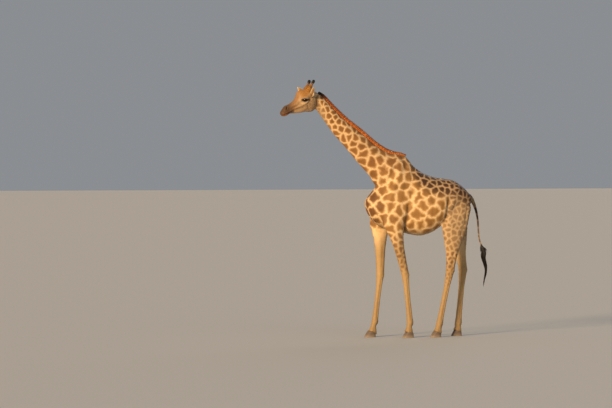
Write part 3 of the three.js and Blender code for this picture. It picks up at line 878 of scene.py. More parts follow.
def claw(node, leg, rings=26, columns=40):
    """Profile of the node's own box: a superellipse that narrows and moves back with height."""
    low, high = (np.array(corner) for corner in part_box(node))
    length, width, height = high - low
    centre = (low[1] + high[1]) / 2
    cleft_sign = SIDE[leg.split("_")[1]] * (1 if "inner" in node else -1)
    rise = np.linspace(0, 1, rings)[:, None]
    turn = np.linspace(0, 2 * np.pi, columns, endpoint=False)[None, :]
    forward = np.sign(np.cos(turn)) * np.abs(np.cos(turn)) ** 0.85
    sidewards = np.sign(np.sin(turn)) * np.abs(np.sin(turn)) ** 0.8
    front = low[0] + length * TOE_LEAN * rise**1.1
    back = high[0] - length * HEEL_LEAN * rise
    middle, half = (front + back) / 2, (back - front) / 2
    outer = (1 - 0.30 * np.maximum(forward, 0) ** 2) * (1 - 0.20 * rise)
    across = (width / 2) * np.where(sidewards * cleft_sign > 0, 0.98 - 0.05 * rise, outer)
    bevel = 1 - 0.035 * np.exp(-((rise / 0.03) ** 2))
    ring_wave = 1 + 0.004 * np.sin(rise * 34 + 0.6 * forward) + 0.003 * np.sin(rise * 61 - 1.1 * forward)
    heel_drop = 1 - 0.36 * (1 - forward) / 2
    x = middle - forward * half * bevel
    y = centre + sidewards * across * bevel * ring_wave
    z = low[2] + rise * height * 1.10 * heel_drop
    points = np.stack([x, y, z], axis=-1).reshape(-1, 3)
    points = np.vstack([points, points[:columns].mean(0), points[-columns:].mean(0)])
    piece = mesh_object(f"claw_{node}", points, closed_rings(rings, columns))
    outward(piece)
    return piece


claws = {}
for leg in LEG_JOINTS:
    for lobe in ("outer", "inner"):
        node = leg.replace("leg", "hoof") + "_" + lobe
        claws[node] = claw(node, leg)
print("claws:", len(claws), "faces each:", len(claws[node].data.polygons))


# %% [markdown]
# ## Hair as solid locks
# Hair could be particles or curves, but a mesh stays what it is in every program. Each lock is a
# thin three-sided spike: rings of two edges and a ridge, tapering to a tip along a path of its own.
# Thousands of them are worked out as one array. Every lock also gets a small patch of a map named
# OFBake, at the place where its root stands on the unwrapped skin, so that paint can be baked to it.


# %% Locks from arrays
PATCH = 0.003  # side of a lock's patch on the map
SKIN_SHARE = 0.65  # how much of the light on a short lock is that on the skin below it


def lock_mesh(name, path, side, width, thick, root_uv, values, taper, shading=None):
    """Locks along paths: path is locks by stations by 3, and its last station is the tip.

    A ring has its left edge at -side * width / 2, its right edge at +side * width / 2 and its ridge
    at thick along the path's outward normal, all scaled by the taper of that station. Where shading
    gives a normal for each lock, the light falls on it as on the skin that it lies on.
    """
    count, stations = path.shape[:2]
    rings = stations - 1
    along = unit(np.gradient(path, axis=1))
    side = unit(side[:, None] - along * (along * side[:, None]).sum(-1, keepdims=True))
    out = np.cross(side, along)
    half = (width[:, None] * taper / 2)[..., None]
    rise = (thick[:, None] * taper)[..., None]
    middle = path[:, :rings]
    left, right = middle - side[:, :rings] * half, middle + side[:, :rings] * half
    ridge = middle + out[:, :rings] * rise
    shaft = np.stack([left, right, ridge], 2).reshape(count, rings * 3, 3)
    points = np.concatenate([shaft, path[:, -1:]], 1)
    size = rings * 3 + 1
    base = np.arange(count)[:, None, None] * size
    quads = []
    for r in range(rings - 1):
        a, b, c = 3 * r, 3 * r + 1, 3 * r + 2
        quads += [[b, a, a + 3, b + 3], [c, b, b + 3, c + 3], [a, c, c + 3, a + 3]]
    e = 3 * (rings - 1)
    tris = np.array([[e + 1, e, size - 1], [e + 2, e + 1, size - 1], [e, e + 2, size - 1]])
    faces = [(base + np.array(quads)).reshape(-1, 4), (base + tris).reshape(-1, 3)]
    piece = mesh_object(name, points.reshape(-1, 3), faces)
    mark(piece, {key: np.repeat(value, size, axis=0) for key, value in values.items()})
    u = np.tile(np.r_[np.tile([-0.5, 0.5, 0.0], rings), 0.0], count)
    v = np.tile(np.r_[np.repeat(np.arange(rings) / rings, 3), 1.0] - 0.5, count)
    spot = np.repeat(root_uv, size, axis=0) + PATCH * 0.9 * np.stack([u, v], axis=1)
    corner = np.empty(len(piece.data.loops), np.int32)
    piece.data.loops.foreach_get("vertex_index", corner)
    piece.data.uv_layers.new(name="OFBake").data.foreach_set("uv", spot[corner].astype(np.float32).ravel())
    if shading is not None:
        below = np.repeat(shading, size, axis=0)
        bent = unit(below * SKIN_SHARE + normals_of(piece.data) * (1 - SKIN_SHARE))
        piece.data.normals_split_custom_set_from_vertices(bent.astype(np.float32).tolist())
    return piece


def curved(root, along, out, length, rise, stations):
    """Paths that start along the lie of the coat and bend by rise * t^2 towards or from the skin."""
    t = np.linspace(0, 1, stations)[None, :, None]
    reach = length[:, None, None]
    return root[:, None] + along[:, None] * reach * t + out[:, None] * reach * rise[:, None, None] * t**2


# %% [markdown]
# ## Mane
# The mane is a short stiff brush that stands up from the nape, from the withers to behind the
# horns. It is near black behind the head and turns to a foxy red down the neck. A core fills it,
# and some thousands of locks stand on the nape in a strip two fingers wide. Each reaches to the
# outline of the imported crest, found by a ray, so that the brush keeps its true height.

# %% Mane locks
NAPE = [(-0.225, 2.650), (-0.300, 2.660), (-0.432, 2.672), (-0.560, 2.720), (-0.708, 2.814), (-0.908, 2.980),
        (-1.126, 3.140), (-1.314, 3.310), (-1.424, 3.440), (-1.500, 3.506), (-1.556, 3.548)]
NAPE_POINTS = 400
MANE_LOCKS = 5200
MANE_HALF = 0.0165
MANE_SINK = 0.016  # depth of the roots below the nape


def surface_tree(piece):
    """The faces of a mesh, sorted for rays and nearest points."""
    mesh = piece.data
    return BVHTree.FromPolygons([v.co for v in mesh.vertices], [p.vertices for p in mesh.polygons])


nape = smooth_rows([(BARREL + x, 0, z) for x, z in NAPE], NAPE_POINTS)
nape_along = unit(np.gradient(nape, axis=0))  # towards the head
nape_up = np.cross(nape_along, (0, 1, 0))
nape_up *= np.sign(nape_up[:, 2:3])
crest = surface_tree(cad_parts["mane"])
RAY_FROM = 0.3  # metres above the nape


def height_of_crest(point, up):
    """From the nape to the outline above it, by a ray that comes down on it."""
    hit = crest.ray_cast(Vector(point + up * RAY_FROM), Vector(-up), 2 * RAY_FROM)
    return RAY_FROM - hit[3] if hit[0] else 0.0


def between_rows(rows, at):
    """Rows at whole and part numbers, each a straight mix of its two neighbours."""
    low = np.minimum(at.astype(int), len(rows) - 2)
    part = (at - low).reshape(*at.shape, *[1] * (rows.ndim - 1))
    return rows[low] * (1 - part) + rows[low + 1] * part


crest_height = np.array([height_of_crest(point, up) for point, up in zip(nape, nape_up)])
print("mane height mm:", np.round(crest_height[::57] * 1000).astype(int))
station = rng.uniform(0, NAPE_POINTS - 1, MANE_LOCKS)
u = station / (NAPE_POINTS - 1)
spread = rng.uniform(-1, 1, MANE_LOCKS)


root = between_rows(nape, station)
up = unit(between_rows(nape_up, station))
forward = unit(between_rows(nape_along, station))
height = between_rows(crest_height, station)
across = np.array([0, 1.0, 0])
length = np.maximum(height, 0.010) * rng.uniform(0.80, 1.03, MANE_LOCKS) * (1 - 0.16 * spread**2)
length = length + MANE_SINK
lean = unit(up + across * (spread * 0.10 + rng.normal(0, 0.05, MANE_LOCKS))[:, None] - forward * 0.10
            + forward * rng.normal(0, 0.11, MANE_LOCKS)[:, None])
mane_root = root - up * MANE_SINK + across * (spread * MANE_HALF * 0.86)[:, None]
mane_path = curved(mane_root, lean, -forward, length, rng.normal(0.10, 0.06, MANE_LOCKS), 5)
mane_side = unit(np.cross(lean, rng.normal(size=(MANE_LOCKS, 3))))
mane_uv = np.stack([0.46 + 0.5 * u, 0.745 + 0.06 * (spread * 0.5 + 0.5)], axis=1)
mane_values = {"hair_place": u, "hair_shade": rng.uniform(0, 1, MANE_LOCKS)}
mane = lock_mesh(
    "mane_locks", mane_path, mane_side, rng.uniform(0.005, 0.009, MANE_LOCKS),
    rng.uniform(0.002, 0.0035, MANE_LOCKS), mane_uv, mane_values, np.array([0.8, 1.0, 0.85, 0.5]),
)
print("mane triangles:", sum(len(f.vertices) - 2 for f in mane.data.polygons))


# %% Mane core
CORE_RINGS, CORE_COLUMNS = 120, 12
core_at = np.linspace(6, 396, CORE_RINGS)
core_height = between_rows(crest_height, core_at)
core_lift = (core_height * 0.36 - 0.008)[:, None]
core_line = between_rows(nape, core_at) + between_rows(nape_up, core_at) * core_lift
core_deep = np.maximum(core_height * 0.38, 0.003) + 0.004
core_half = np.full(CORE_RINGS, MANE_HALF * 0.62)
mane_core = mesh_object("mane_core", *tube(core_line, core_half, core_deep, CORE_COLUMNS))
outward(mane_core)
mark(mane_core, {
    "hair_place": np.r_[np.repeat(core_at / (NAPE_POINTS - 1), CORE_COLUMNS), 0, 1],
    "hair_shade": np.full(CORE_RINGS * CORE_COLUMNS + 2, 0.15),
})
print("mane core triangles:", 2 * len(mane_core.data.vertices) - 4)


# %% [markdown]
# ## Tail tuft
# Long black hair hangs from the end of the tail, nearly to the hocks. Each strand keeps its place
# within the tuft as it goes down, drawn in where the tuft is narrow, and ends at a height of its
# own, so that the tuft thins out to a wisp.

# %% Tail strands
# behind the barrel's middle, height, half width, half depth
TUFT_RINGS = [(0.947, 1.345, 0.011, 0.011), (0.953, 1.315, 0.016, 0.016), (0.974, 1.276, 0.036, 0.040),
              (0.988, 1.215, 0.045, 0.049), (0.992, 1.140, 0.041, 0.044), (0.996, 1.060, 0.033, 0.035),
              (1.008, 0.975, 0.025, 0.026), (1.006, 0.880, 0.018, 0.018), (0.994, 0.770, 0.012, 0.012),
              (0.987, 0.672, 0.004, 0.004)]
STRANDS = 1700
WISPS = 26
tuft_rows = smooth_rows(TUFT_RINGS, 200)


def sway_at(share):
    """How far the tuft's middle swings back and forth on its way down."""
    return 0.013 * np.sin(share * 13.0 - 0.6) * smoothstep(0.15, 0.4, share)


wisp = rng.integers(0, WISPS, STRANDS)
wisp_angle, wisp_end = rng.uniform(0, 2 * np.pi, WISPS), rng.uniform(0.62, 1.0, WISPS)
wisp_radius = np.sqrt(rng.uniform(0.02, 0.75, WISPS))
knob = rng.uniform(0, 1, STRANDS) < 0.42  # short curled hair where the tuft begins
start = np.where(knob, rng.uniform(0.0, 0.16, STRANDS), rng.uniform(0.0, 0.45, STRANDS) ** 1.4)
end = np.where(knob, start + rng.uniform(0.10, 0.20, STRANDS), wisp_end[wisp] - rng.uniform(0, 0.16, STRANDS))
end = np.maximum(end, start + 0.10)
angle = np.where(knob, rng.uniform(0, 2 * np.pi, STRANDS), wisp_angle[wisp] + rng.normal(0, 0.30, STRANDS))
radius = np.where(knob, rng.uniform(0.55, 1.12, STRANDS), wisp_radius[wisp] + rng.normal(0, 0.10, STRANDS))
t = np.linspace(0, 1, 9)
share = start[:, None] + (end - start)[:, None] * t
rows = between_rows(tuft_rows, np.clip(share, 0, 1) * (len(tuft_rows) - 1))
swirl = angle[:, None] + np.where(knob, 1.6, 0.5)[:, None] * np.sin(3.0 * share + angle[:, None])
inward = radius[:, None] * (0.35 + 0.65 * smoothstep(0.0, 0.25, t))[None, :]
narrow = np.where(knob, 1.0, 0.78)[:, None]
wave = 0.005 * np.sin(share * 30 + (wisp * 2.4)[:, None]) * smoothstep(0.1, 0.4, share)
strand_path = np.stack([
    BARREL + rows[..., 0] + rows[..., 3] * inward * narrow * np.cos(swirl) + sway_at(share) + wave,
    rows[..., 2] * inward * narrow * np.sin(swirl) + wave * 0.7,
    rows[..., 1],
], axis=-1)
strand_side = np.stack([-np.sin(angle), np.cos(angle), 0 * angle], axis=1)
strand_uv = np.stack([0.46 + 0.2 * start, 0.83 + 0.05 * angle / (2 * np.pi)], axis=1)
tail_tuft = lock_mesh(
    "tail_strands", strand_path, strand_side, rng.uniform(0.003, 0.006, STRANDS),
    rng.uniform(0.0015, 0.003, STRANDS), strand_uv,
    {"hair_place": start, "hair_shade": rng.uniform(0, 1, STRANDS)},
    np.array([0.6, 0.9, 1.0, 1.0, 0.9, 0.75, 0.55, 0.35]),
)
print("tail triangles:", sum(len(f.vertices) - 2 for f in tail_tuft.data.polygons))
CORE_STEPS = 40
core_rows = smooth_rows(TUFT_RINGS[:-1], CORE_STEPS)
core_rows[:, 0] += sway_at(np.linspace(0, 0.88, CORE_STEPS))
core_line = np.stack([BARREL + core_rows[:, 0], np.zeros(CORE_STEPS), core_rows[:, 1]], 1)
tuft_core = mesh_object("tail_core", *tube(core_line, *(core_rows[:, 2:] * 0.45).T, 14))
outward(tuft_core)


# %% Horn tufts
HORN_LOCKS = 420
horn_locks = {}


def round_horn(side, turn):
    """Direction up the horn, and outwards from it at each angle of the turn."""
    stem = unit(horn_line(side, 1.0) - horn_line(side, 0.0))
    a = unit(np.cross(stem, head_left))
    return stem, a * np.cos(turn)[:, None] + np.cross(stem, a) * np.sin(turn)[:, None]


def on_horn_map(side, corner, turn, share):
    """Place on the map: the turn runs across it and the way up the horn runs up it."""
    left_edge = corner[0] + (0.07 if side == "right" else 0)
    return np.stack([left_edge + 0.06 * turn / (2 * np.pi), corner[1] + 0.08 * share], 1)


for side in ("left", "right"):
    share = rng.uniform(0.70, 1.12, HORN_LOCKS)
    turn = rng.uniform(0, 2 * np.pi, HORN_LOCKS)
    stem, round_out = round_horn(side, turn)
    radius = np.interp(share, *np.array(HORN_PROFILE).T)
    root = horn_line(side, share) + round_out * (radius * 0.8)[:, None]
    over = smoothstep(0.86, 1.12, share)[:, None]
    direction = stem * (0.85 + 0.3 * over) + round_out * (0.32 + 0.1 * (1 - over))
    direction = unit(direction + rng.normal(0, 0.10, (HORN_LOCKS, 3)))
    length = 0.022 * (1 - 0.35 * over[:, 0]) * rng.uniform(0.8, 1.0, HORN_LOCKS)
    path = curved(root, direction, -round_out, length, np.full(HORN_LOCKS, 0.12), 4)
    horn_locks[side] = lock_mesh(
        f"horn_tuft_{side}", path, unit(np.cross(direction, round_out)), np.full(HORN_LOCKS, 0.0042),
        np.full(HORN_LOCKS, 0.0018), on_horn_map(side, (0.70, 0.80), turn, share),
        {"hair_place": share, "hair_shade": rng.uniform(0, 1, HORN_LOCKS)}, np.array([1.0, 1.0, 0.7]),
    )
print("horn tuft locks:", 2 * HORN_LOCKS)


# %% Short hair on the horns
HORN_HAIRS = 2600
horn_coats = {}
for side in ("left", "right"):
    share = 0.78 - 1.14 * rng.uniform(0, 1, HORN_HAIRS) ** 0.8
    turn = rng.uniform(0, 2 * np.pi, HORN_HAIRS)
    stem, round_out = round_horn(side, turn)
    core = surface_tree(horns[side])
    reach = horn_line(side, share) + round_out * np.interp(share, *np.array(HORN_PROFILE).T)[:, None]
    root = np.array([core.find_nearest(Vector(spot))[0] for spot in reach])
    direction = unit(stem + round_out * 0.10 + rng.normal(0, 0.16, (HORN_HAIRS, 3)))
    length = rng.uniform(0.008, 0.013, HORN_HAIRS)
    path = curved(root - round_out * 0.0004, direction, -round_out, length, np.full(HORN_HAIRS, 0.05), 3)
    horn_coats[side] = lock_mesh(
        f"horn_coat_{side}", path, unit(np.cross(direction, round_out)),
        rng.uniform(0.0018, 0.0030, HORN_HAIRS), np.full(HORN_HAIRS, 0.0007),
        on_horn_map(side, (0.85, 0.85), turn, share), {"hair_shade": rng.uniform(0, 1, HORN_HAIRS)},
        np.array([0.75, 1.0]), shading=round_out,
    )
print("horn hairs:", 2 * HORN_HAIRS)


# %% [markdown]
# ## Places on the body
# Markings, hair and maps all need to know where a point is on the animal. Each part has a chain of
# points down its middle with a girth at each. A point belongs to the part whose chain is nearest,
# counted in girths, and its place there is a length along the chain and an angle round it. That
# length and angle also unroll the skin onto a flat map, part by part, as a furrier lays out a hide.

# %% Chains of the body
NECK_LINE = [(-0.34, 2.25, 0.27), (-0.489, 2.42, 0.235), (-0.704, 2.572, 0.165), (-0.845, 2.69, 0.15),
             (-1.027, 2.871, 0.13), (-1.226, 3.049, 0.105), (-1.395, 3.235, 0.085), (-1.493, 3.358, 0.08),
             (-1.561, 3.428, 0.08)]
TRUNK_LINE = [(-0.80, 1.93, 0.12), (-0.62, 1.95, 0.27), (-0.40, 2.02, 0.33), (-0.10, 1.98, 0.36),
              (0.20, 1.94, 0.36), (0.45, 1.98, 0.30), (0.68, 2.02, 0.18), (0.78, 2.03, 0.08)]
HEAD_LINE = [(0.02, -0.03, 0.075), (0.10, -0.06, 0.10), (0.20, -0.045, 0.105), (0.335, -0.033, 0.075),
             (0.46, -0.012, 0.06), (0.60, -0.012, 0.045)]
LEG_GIRTHS = {"fore": (0.10, 0.15, 0.055, 0.045, 0.05), "hind": (0.12, 0.19, 0.06, 0.045, 0.05)}

chains = {
    "trunk": [(*place(x, 0, z), r) for x, z, r in TRUNK_LINE],
    "neck": [(*place(x, 0, z), r) for x, z, r in NECK_LINE],
    "head": [(*on_head(along, 0, above), r) for along, above, r in HEAD_LINE],
}
for leg in LEG_JOINTS:
    chains[leg] = [(*point, r) for point, r in zip(joints[leg], LEG_GIRTHS[leg[:4]])]
for side in ("left", "right"):
    root, reach, _, _ = ear_frame(side)
    chains[f"ear_{side}"] = [(*(root + reach * EAR_REACH * k), 0.030) for k in (0.12, 0.5, 1.0)]
chains["tail"] = [(*tail_path[k], 0.03) for k in (14, 24, 36, 48, 59)]  # rings of the tail's tube
PARTS = list(chains)


def on_chain(points, chain):
    """Length along the chain, distance from it in girths, and angle round it from its upper side."""
    chain = np.array(chain)
    joint, girth = chain[:, :3], chain[:, 3]
    best = np.full(len(points), np.inf)
    length, angle = np.zeros(len(points)), np.zeros(len(points))
    so_far = 0.0
    for k in range(len(joint) - 1):
        step = joint[k + 1] - joint[k]
        size = np.linalg.norm(step)
        t = np.clip((points - joint[k]) @ step / size**2, 0, 1)
        away = points - joint[k] - t[:, None] * step
        ratio = np.linalg.norm(away, axis=1) / (girth[k] + (girth[k + 1] - girth[k]) * t)
        top = np.cross(step / size, (0, 1.0, 0))
        round_angle = np.arctan2(away[:, 1], away @ unit(top))
        closer = ratio < best
        best = np.where(closer, ratio, best)
        length = np.where(closer, so_far + t * size, length)
        angle = np.where(closer, round_angle, angle)
        so_far += size
    return length, best, angle


# corner of each part's rectangle on the map, and its height there
MAP_SCALE = 1 / 4.6
MAP_PLACE = {"trunk": (0.01, 0.01, 0.50), "neck": (0.01, 0.52, 0.24), "head": (0.01, 0.78, 0.20),
             "foreleg_left": (0.45, 0.01, 0.17), "foreleg_right": (0.45, 0.19, 0.17),
             "hindleg_left": (0.45, 0.37, 0.17), "hindleg_right": (0.45, 0.55, 0.17),
             "ear_left": (0.18, 0.78, 0.09), "ear_right": (0.18, 0.89, 0.09), "tail": (0.24, 0.78, 0.05)}


def body_places(points):
    """The part's number, and the place on the unrolled map."""
    found = [on_chain(points, chains[part]) for part in PARTS]
    part = np.argmin(np.array([ratio for _, ratio, _ in found]), axis=0)
    pick = np.arange(len(points))
    length = np.array([f[0] for f in found])[part, pick]
    angle = np.array([f[2] for f in found])[part, pick]
    corner = np.array([MAP_PLACE[p] for p in PARTS])[part]
    across_map = corner[:, 2] * (angle / (2 * np.pi) + 0.5)
    return part, np.stack([corner[:, 0] + length * MAP_SCALE, corner[:, 1] + across_map], 1)


skin_at, skin_normal = points_of(skin.data), normals_of(skin.data)
skin_ends = edge_ends(skin.data)
part, _ = body_places(skin_at)
print("points by part:", dict(zip(PARTS, np.bincount(part, minlength=len(PARTS)).tolist())))


# %% [markdown]
# ## The lie of the coat
# Hair grows from the nose back over the face, down the neck, back and down over the barrel, and
# straight down the legs. Each part gives its own direction, and averaging over the mesh lets one
# run into the next, as the whorls and partings of a real coat do.

# %% Directions of the hair
def averaged(values, ends, rounds):
    """Repeated mean of each point with its neighbours along the edges."""
    count = np.bincount(ends.ravel(), minlength=len(values)) + 1.0
    for _ in range(rounds):
        total = values + neighbour_sum(values, ends)
        values = total / count[:, None]
    return values


lie = np.zeros_like(skin_at)
for k, name in enumerate(PARTS):
    line = np.array(chains[name])[:, :3]
    toward_end = unit(line[-1] - line[0])
    if name == "trunk":
        toward_end = unit([1.0, 0, -0.38])
    elif name == "neck":
        toward_end = -toward_end
    elif name == "head":
        toward_end = -head_ahead - 0.15 * head_up
    lie[part == k] = toward_end
lie = averaged(lie, skin_ends, 24)
lie = unit(lie - skin_normal * (lie * skin_normal).sum(1, keepdims=True))


# %% [markdown]
# ## Markings
# A giraffe's patches are made as its skin grows: dark centres spread until they almost meet, and
# the pale lines are what is left between them. Sown points do the same here. Points are sown at
# random over the skin, no closer than the patches are wide in that place, and each point of skin
# belongs to its nearest one. The depth inside the patch is the least distance to a border with a
# neighbour, softened so that corners are round, less half the width of the pale line.

# %% How big the patches are
BACK_LINE = np.array([(-1.0, 2.9), (-0.262, 2.668), (-0.122, 2.514), (0.02, 2.402), (0.19, 2.336),
                      (0.365, 2.308), (0.52, 2.278), (0.67, 2.169), (0.75, 2.074), (0.80, 1.95)])
IS = {name: k for k, name in enumerate(PARTS)}


def body_zones(points):
    """Weights from 0 to 1 that say how far a point belongs to each named zone of the animal."""
    x, y, z = points[:, 0] - BARREL, points[:, 1], points[:, 2]
    seat = in_head(points)
    neck_length = on_chain(points, chains["neck"])[0]
    neck_total = np.linalg.norm(np.diff(np.array(chains["neck"])[:, :3], axis=0), axis=1).sum()
    below_back = np.interp(x, *BACK_LINE.T) - z
    head = smoothstep(-0.02, 0.07, seat[:, 0]) * (z > 3.0)
    neck = smoothstep(2.25, 2.55, z - 0.15 * (x + 0.6)) * (x < -0.2) * (1 - head)
    thigh_edge = np.interp(z, [1.2, 1.59, 2.1, 2.3], [0.215, 0.27, 0.38, 0.42])
    hind = smoothstep(-0.03, 0.05, x - thigh_edge)
    back = smoothstep(0.38, 0.16, below_back) * smoothstep(-0.32, -0.05, x)
    return {
        "head": head, "neck": neck, "up_neck": np.clip(neck_length / neck_total, 0, 1), "back": back,
        "rump": hind * smoothstep(1.1, 1.4, z),
        "shoulder": smoothstep(-0.20, -0.38, x) * (1 - neck) * smoothstep(1.5, 1.7, z),
        "fore_shank": (x < -0.1) * smoothstep(1.66, 1.50, z),
        "hind_shank": (x > -0.1) * smoothstep(1.5, 1.2, z) * (z < 1.5),
        "seat": seat, "x": x, "y": y, "z": z,
    }


def mix(a, b, weight):
    """a where the weight is 0, b where it is 1."""
    return a * (1 - weight) + b * weight


def patch_width(zone):
    """Distance between the middles of neighbouring patches, in metres."""
    width = np.full(len(zone["x"]), 0.148)
    width = mix(width, 0.138, zone["shoulder"])
    on_neck = np.interp(zone["up_neck"], [0.0, 0.3, 0.6, 0.85, 1.0], [0.155, 0.13, 0.10, 0.075, 0.062])
    width = mix(width, on_neck, zone["neck"])
    width = mix(width, 0.084, zone["back"])
    width = mix(width, np.where(zone["back"] > 0.5, 0.070, 0.060), zone["rump"])
    width = mix(width, np.interp(zone["z"], [0.9, 1.2, 1.55], [0.046, 0.060, 0.10]), zone["fore_shank"])
    width = mix(width, np.interp(zone["z"], [0.4, 1.0, 1.4], [0.040, 0.046, 0.066]), zone["hind_shank"])
    return mix(width, 0.034, zone["head"])


def line_width(zone):
    """Half the width of the pale line between two patches, in metres."""
    half = np.full(len(zone["x"]), 0.0056)
    half = mix(half, np.interp(zone["up_neck"], [0.0, 0.5, 1.0], [0.0066, 0.0052, 0.0035]), zone["neck"])
    half = mix(half, 0.0045, zone["back"])
    half = mix(half, 0.0055, zone["rump"])
    half = mix(half, 0.0085, zone["fore_shank"])
    half = mix(half, 0.0065, zone["hind_shank"])
    return mix(half, 0.005, zone["head"])


# %% Sow the patches
def waves(points, size, seed, count=14):
    """Smooth noise: a sum of sine waves of about the given length in random directions."""
    draw = np.random.default_rng(seed)
    way = unit(draw.normal(size=(count, 3))) / size * draw.uniform(0.7, 1.5, (count, 1)) * 2 * np.pi
    return np.sin(points @ way.T + draw.uniform(0, 6.28, count)).sum(1) / math.sqrt(count / 2)


def sow(points, spacing, tries, seed):
    """Dart throwing: a candidate stays if no kept seed is closer than the spacing there."""
    draw = np.random.default_rng(seed)
    order = draw.permutation(len(points))[:tries]
    kept = np.empty((0, 3))
    room = np.empty(0)
    for k in order:
        if not len(kept) or (np.sum((kept - points[k]) ** 2, 1) > (0.5 * (room + spacing[k])) ** 2).all():
            kept = np.vstack([kept, points[k]])
            room = np.append(room, spacing[k])
    return kept


zone = body_zones(skin_at)
width = patch_width(zone)
PACKING = 0.84  # least distance between seeds, in patch widths
seeds = sow(skin_at, width * PACKING, 9000, 11)
print("patches sown:", len(seeds))


BATCH = 4000  # points measured at a time
RIVALS = 7  # seeds near a point that may border its patch
BEND, RIPPLE, ROUNDING = 0.05, 0.012, 0.045  # shares of a patch's width


def patch_depth(points, width, half_line):
    """Depth inside the patch in metres, negative in the pale line, and a number for each patch."""
    bend = np.stack([waves(points, 0.10, 20 + k) for k in range(3)], 1)
    ripple = np.stack([waves(points, 0.034, 30 + k) for k in range(3)], 1)
    bent = points + bend * (width * BEND)[:, None] + ripple * (width * RIPPLE)[:, None]
    depth, own = np.empty(len(points)), np.empty(len(points), int)
    for k in range(0, len(points), BATCH):
        part_of = slice(k, k + BATCH)
        square = ((bent[part_of, None] - seeds[None]) ** 2).sum(2)
        near_ones = np.argpartition(square, RIVALS, axis=1)[:, :RIVALS]
        near_square = np.take_along_axis(square, near_ones, 1)
        rank = np.argsort(near_square, 1)
        near_ones = np.take_along_axis(near_ones, rank, 1)
        near_square = np.take_along_axis(near_square, rank, 1)
        gap = np.linalg.norm(seeds[near_ones[:, 1:]] - seeds[near_ones[:, :1]], axis=2)
        border = (near_square[:, 1:] - near_square[:, :1]) / (2 * gap)
        soft = (width[part_of] * ROUNDING)[:, None]
        rounded = -soft[:, 0] * np.log(np.exp(-border / soft).sum(1))
        depth[part_of], own[part_of] = rounded, near_ones[:, 0]
    return depth - half_line, own


depth, own_patch = patch_depth(skin_at, width, line_width(zone))
patch_tone = np.random.default_rng(5).uniform(0, 1, len(seeds))[own_patch]
print("skin inside patches:", round(float((depth > 0).mean()), 2))


# %% Where the markings fade
def patch_strength(zone, normals):
    """1 where patches are full, less on the face, the belly, the inside and the foot of the legs."""
    x, y, z, seat = zone["x"], zone["y"], zone["z"], zone["seat"]
    inward = -np.sign(y) * normals[:, 1]
    fore = (x < -0.1) * smoothstep(1.62, 1.50, z)
    hind = (x > -0.1) * smoothstep(1.50, 1.30, z)
    strength = np.ones(len(x))
    strength *= 1 - fore * smoothstep(-0.25, 0.30, inward)
    strength *= 1 - 0.85 * hind * smoothstep(-0.1, 0.5, inward)
    strength *= 1 - (x < -0.1) * smoothstep(1.06, 0.88, z)
    strength *= 1 - 0.9 * (x > -0.1) * smoothstep(1.10, 0.50, z)
    strength *= 1 - 0.65 * smoothstep(-0.75, -0.98, normals[:, 2]) * (z < 1.75) * (z > 1.3)
    cheek = smoothstep(0.34, 0.20, seat[:, 0]) * smoothstep(0.02, -0.03, seat[:, 2])
    strength *= 1 - 0.28 * zone["rump"] * (1 - zone["back"])
    strength *= 1 - zone["head"] * (1 - 0.45 * cheek)
    strength *= 1 - (zone["head"] > 0.01) * (np.abs(seat[:, 1]) > 0.112)
    return strength


strength = patch_strength(zone, skin_normal)
on_ear = np.isin(part, [IS["ear_left"], IS["ear_right"]])
strength[on_ear] = 0
print("skin with full markings:", round(float((strength > 0.9).mean()), 2))


# %% [markdown]
# ## Colours of the hide
# Two colours are kept at every point of the skin: that of the ground between the patches and that
# of the patches. They change slowly over the body. The back is darkest, the flank is tan, the legs
# are pale, the forehead is orange, and the muzzle is grey brown. Some of the ground is painted
# light and shade: the belly and the rear of the rump are darkened as painted shade, the creases
# behind the elbow and before the thigh are darker skin with painted shade in them, a dark band
# behind the jaw is a painted shadow, the dark round the eyes is dark skin with painted shade of
# the lids and lashes, and a pale stroke under the eye is a painted highlight.

# %% The two sets of colours
GROUND = {"body": "#ECC893", "neck": "#E4BF8B", "back": "#BE9A70", "leg": "#AA8A5A", "belly": "#AE936E",
          "face": "#A98860", "forehead": "#A5702F", "bridge": "#8F5F30", "muzzle": "#4C3622",
          "lip": "#94592B", "dark": "#1C130D", "ear": "#A0845E", "ear_inside": "#7A5A3A",
          "rim": "#CDB892", "tail": "#A98A64", "fold_and_shade": "#4A3422", "shank": "#8E724C", "rear": "#7E6448",
          "cheek_highlight": "#C8AA7E"}
PATCH_COLOUR = {"flank": "#A1743A", "neck": "#93642F", "back": "#472C18", "rump": "#7C5C3A",
                "leg": "#8A6640", "chest": "#784E25", "face": "#74532F", "tail": "#3C291C"}


def tinted(base, changes):
    """Starts from one colour everywhere and mixes in others by their weights, in turn."""
    colour = np.tile(linear(base), (len(skin_at), 1))
    for hex_colour, weight in changes:
        colour = colour * (1 - weight[:, None]) + np.array(linear(hex_colour)) * weight[:, None]
    return colour


# %% Where the colours lie on the head
seat, x, z = zone["seat"], zone["x"], zone["z"]
side_on = seat[:, [0, 2]]
side_face = np.abs(skin_normal @ head_left)
dip = 0.25 * (seat[:, 0] - 0.2) * (seat[:, 0] > 0.2)  # the bridge comes down towards the nose
upper_face = smoothstep(-0.01, 0.07, seat[:, 2] + dip)
on_bridge = zone["head"] * upper_face * smoothstep(0.23, 0.30, seat[:, 0])
on_bridge = on_bridge * smoothstep(0.075, 0.045, np.abs(seat[:, 1]))
on_brow = zone["head"] * smoothstep(0.07, 0.12, seat[:, 2]) * smoothstep(0.30, 0.22, seat[:, 0])
on_muzzle = zone["head"] * smoothstep(0.37, 0.54, seat[:, 0] + 0.25 * seat[:, 2])
on_lip = zone["head"] * smoothstep(0.50, 0.56, seat[:, 0]) * smoothstep(0.012, -0.012, seat[:, 2])
near_eye = np.full(len(skin_at), 9.0)  # distance from an eye, in widths of its opening
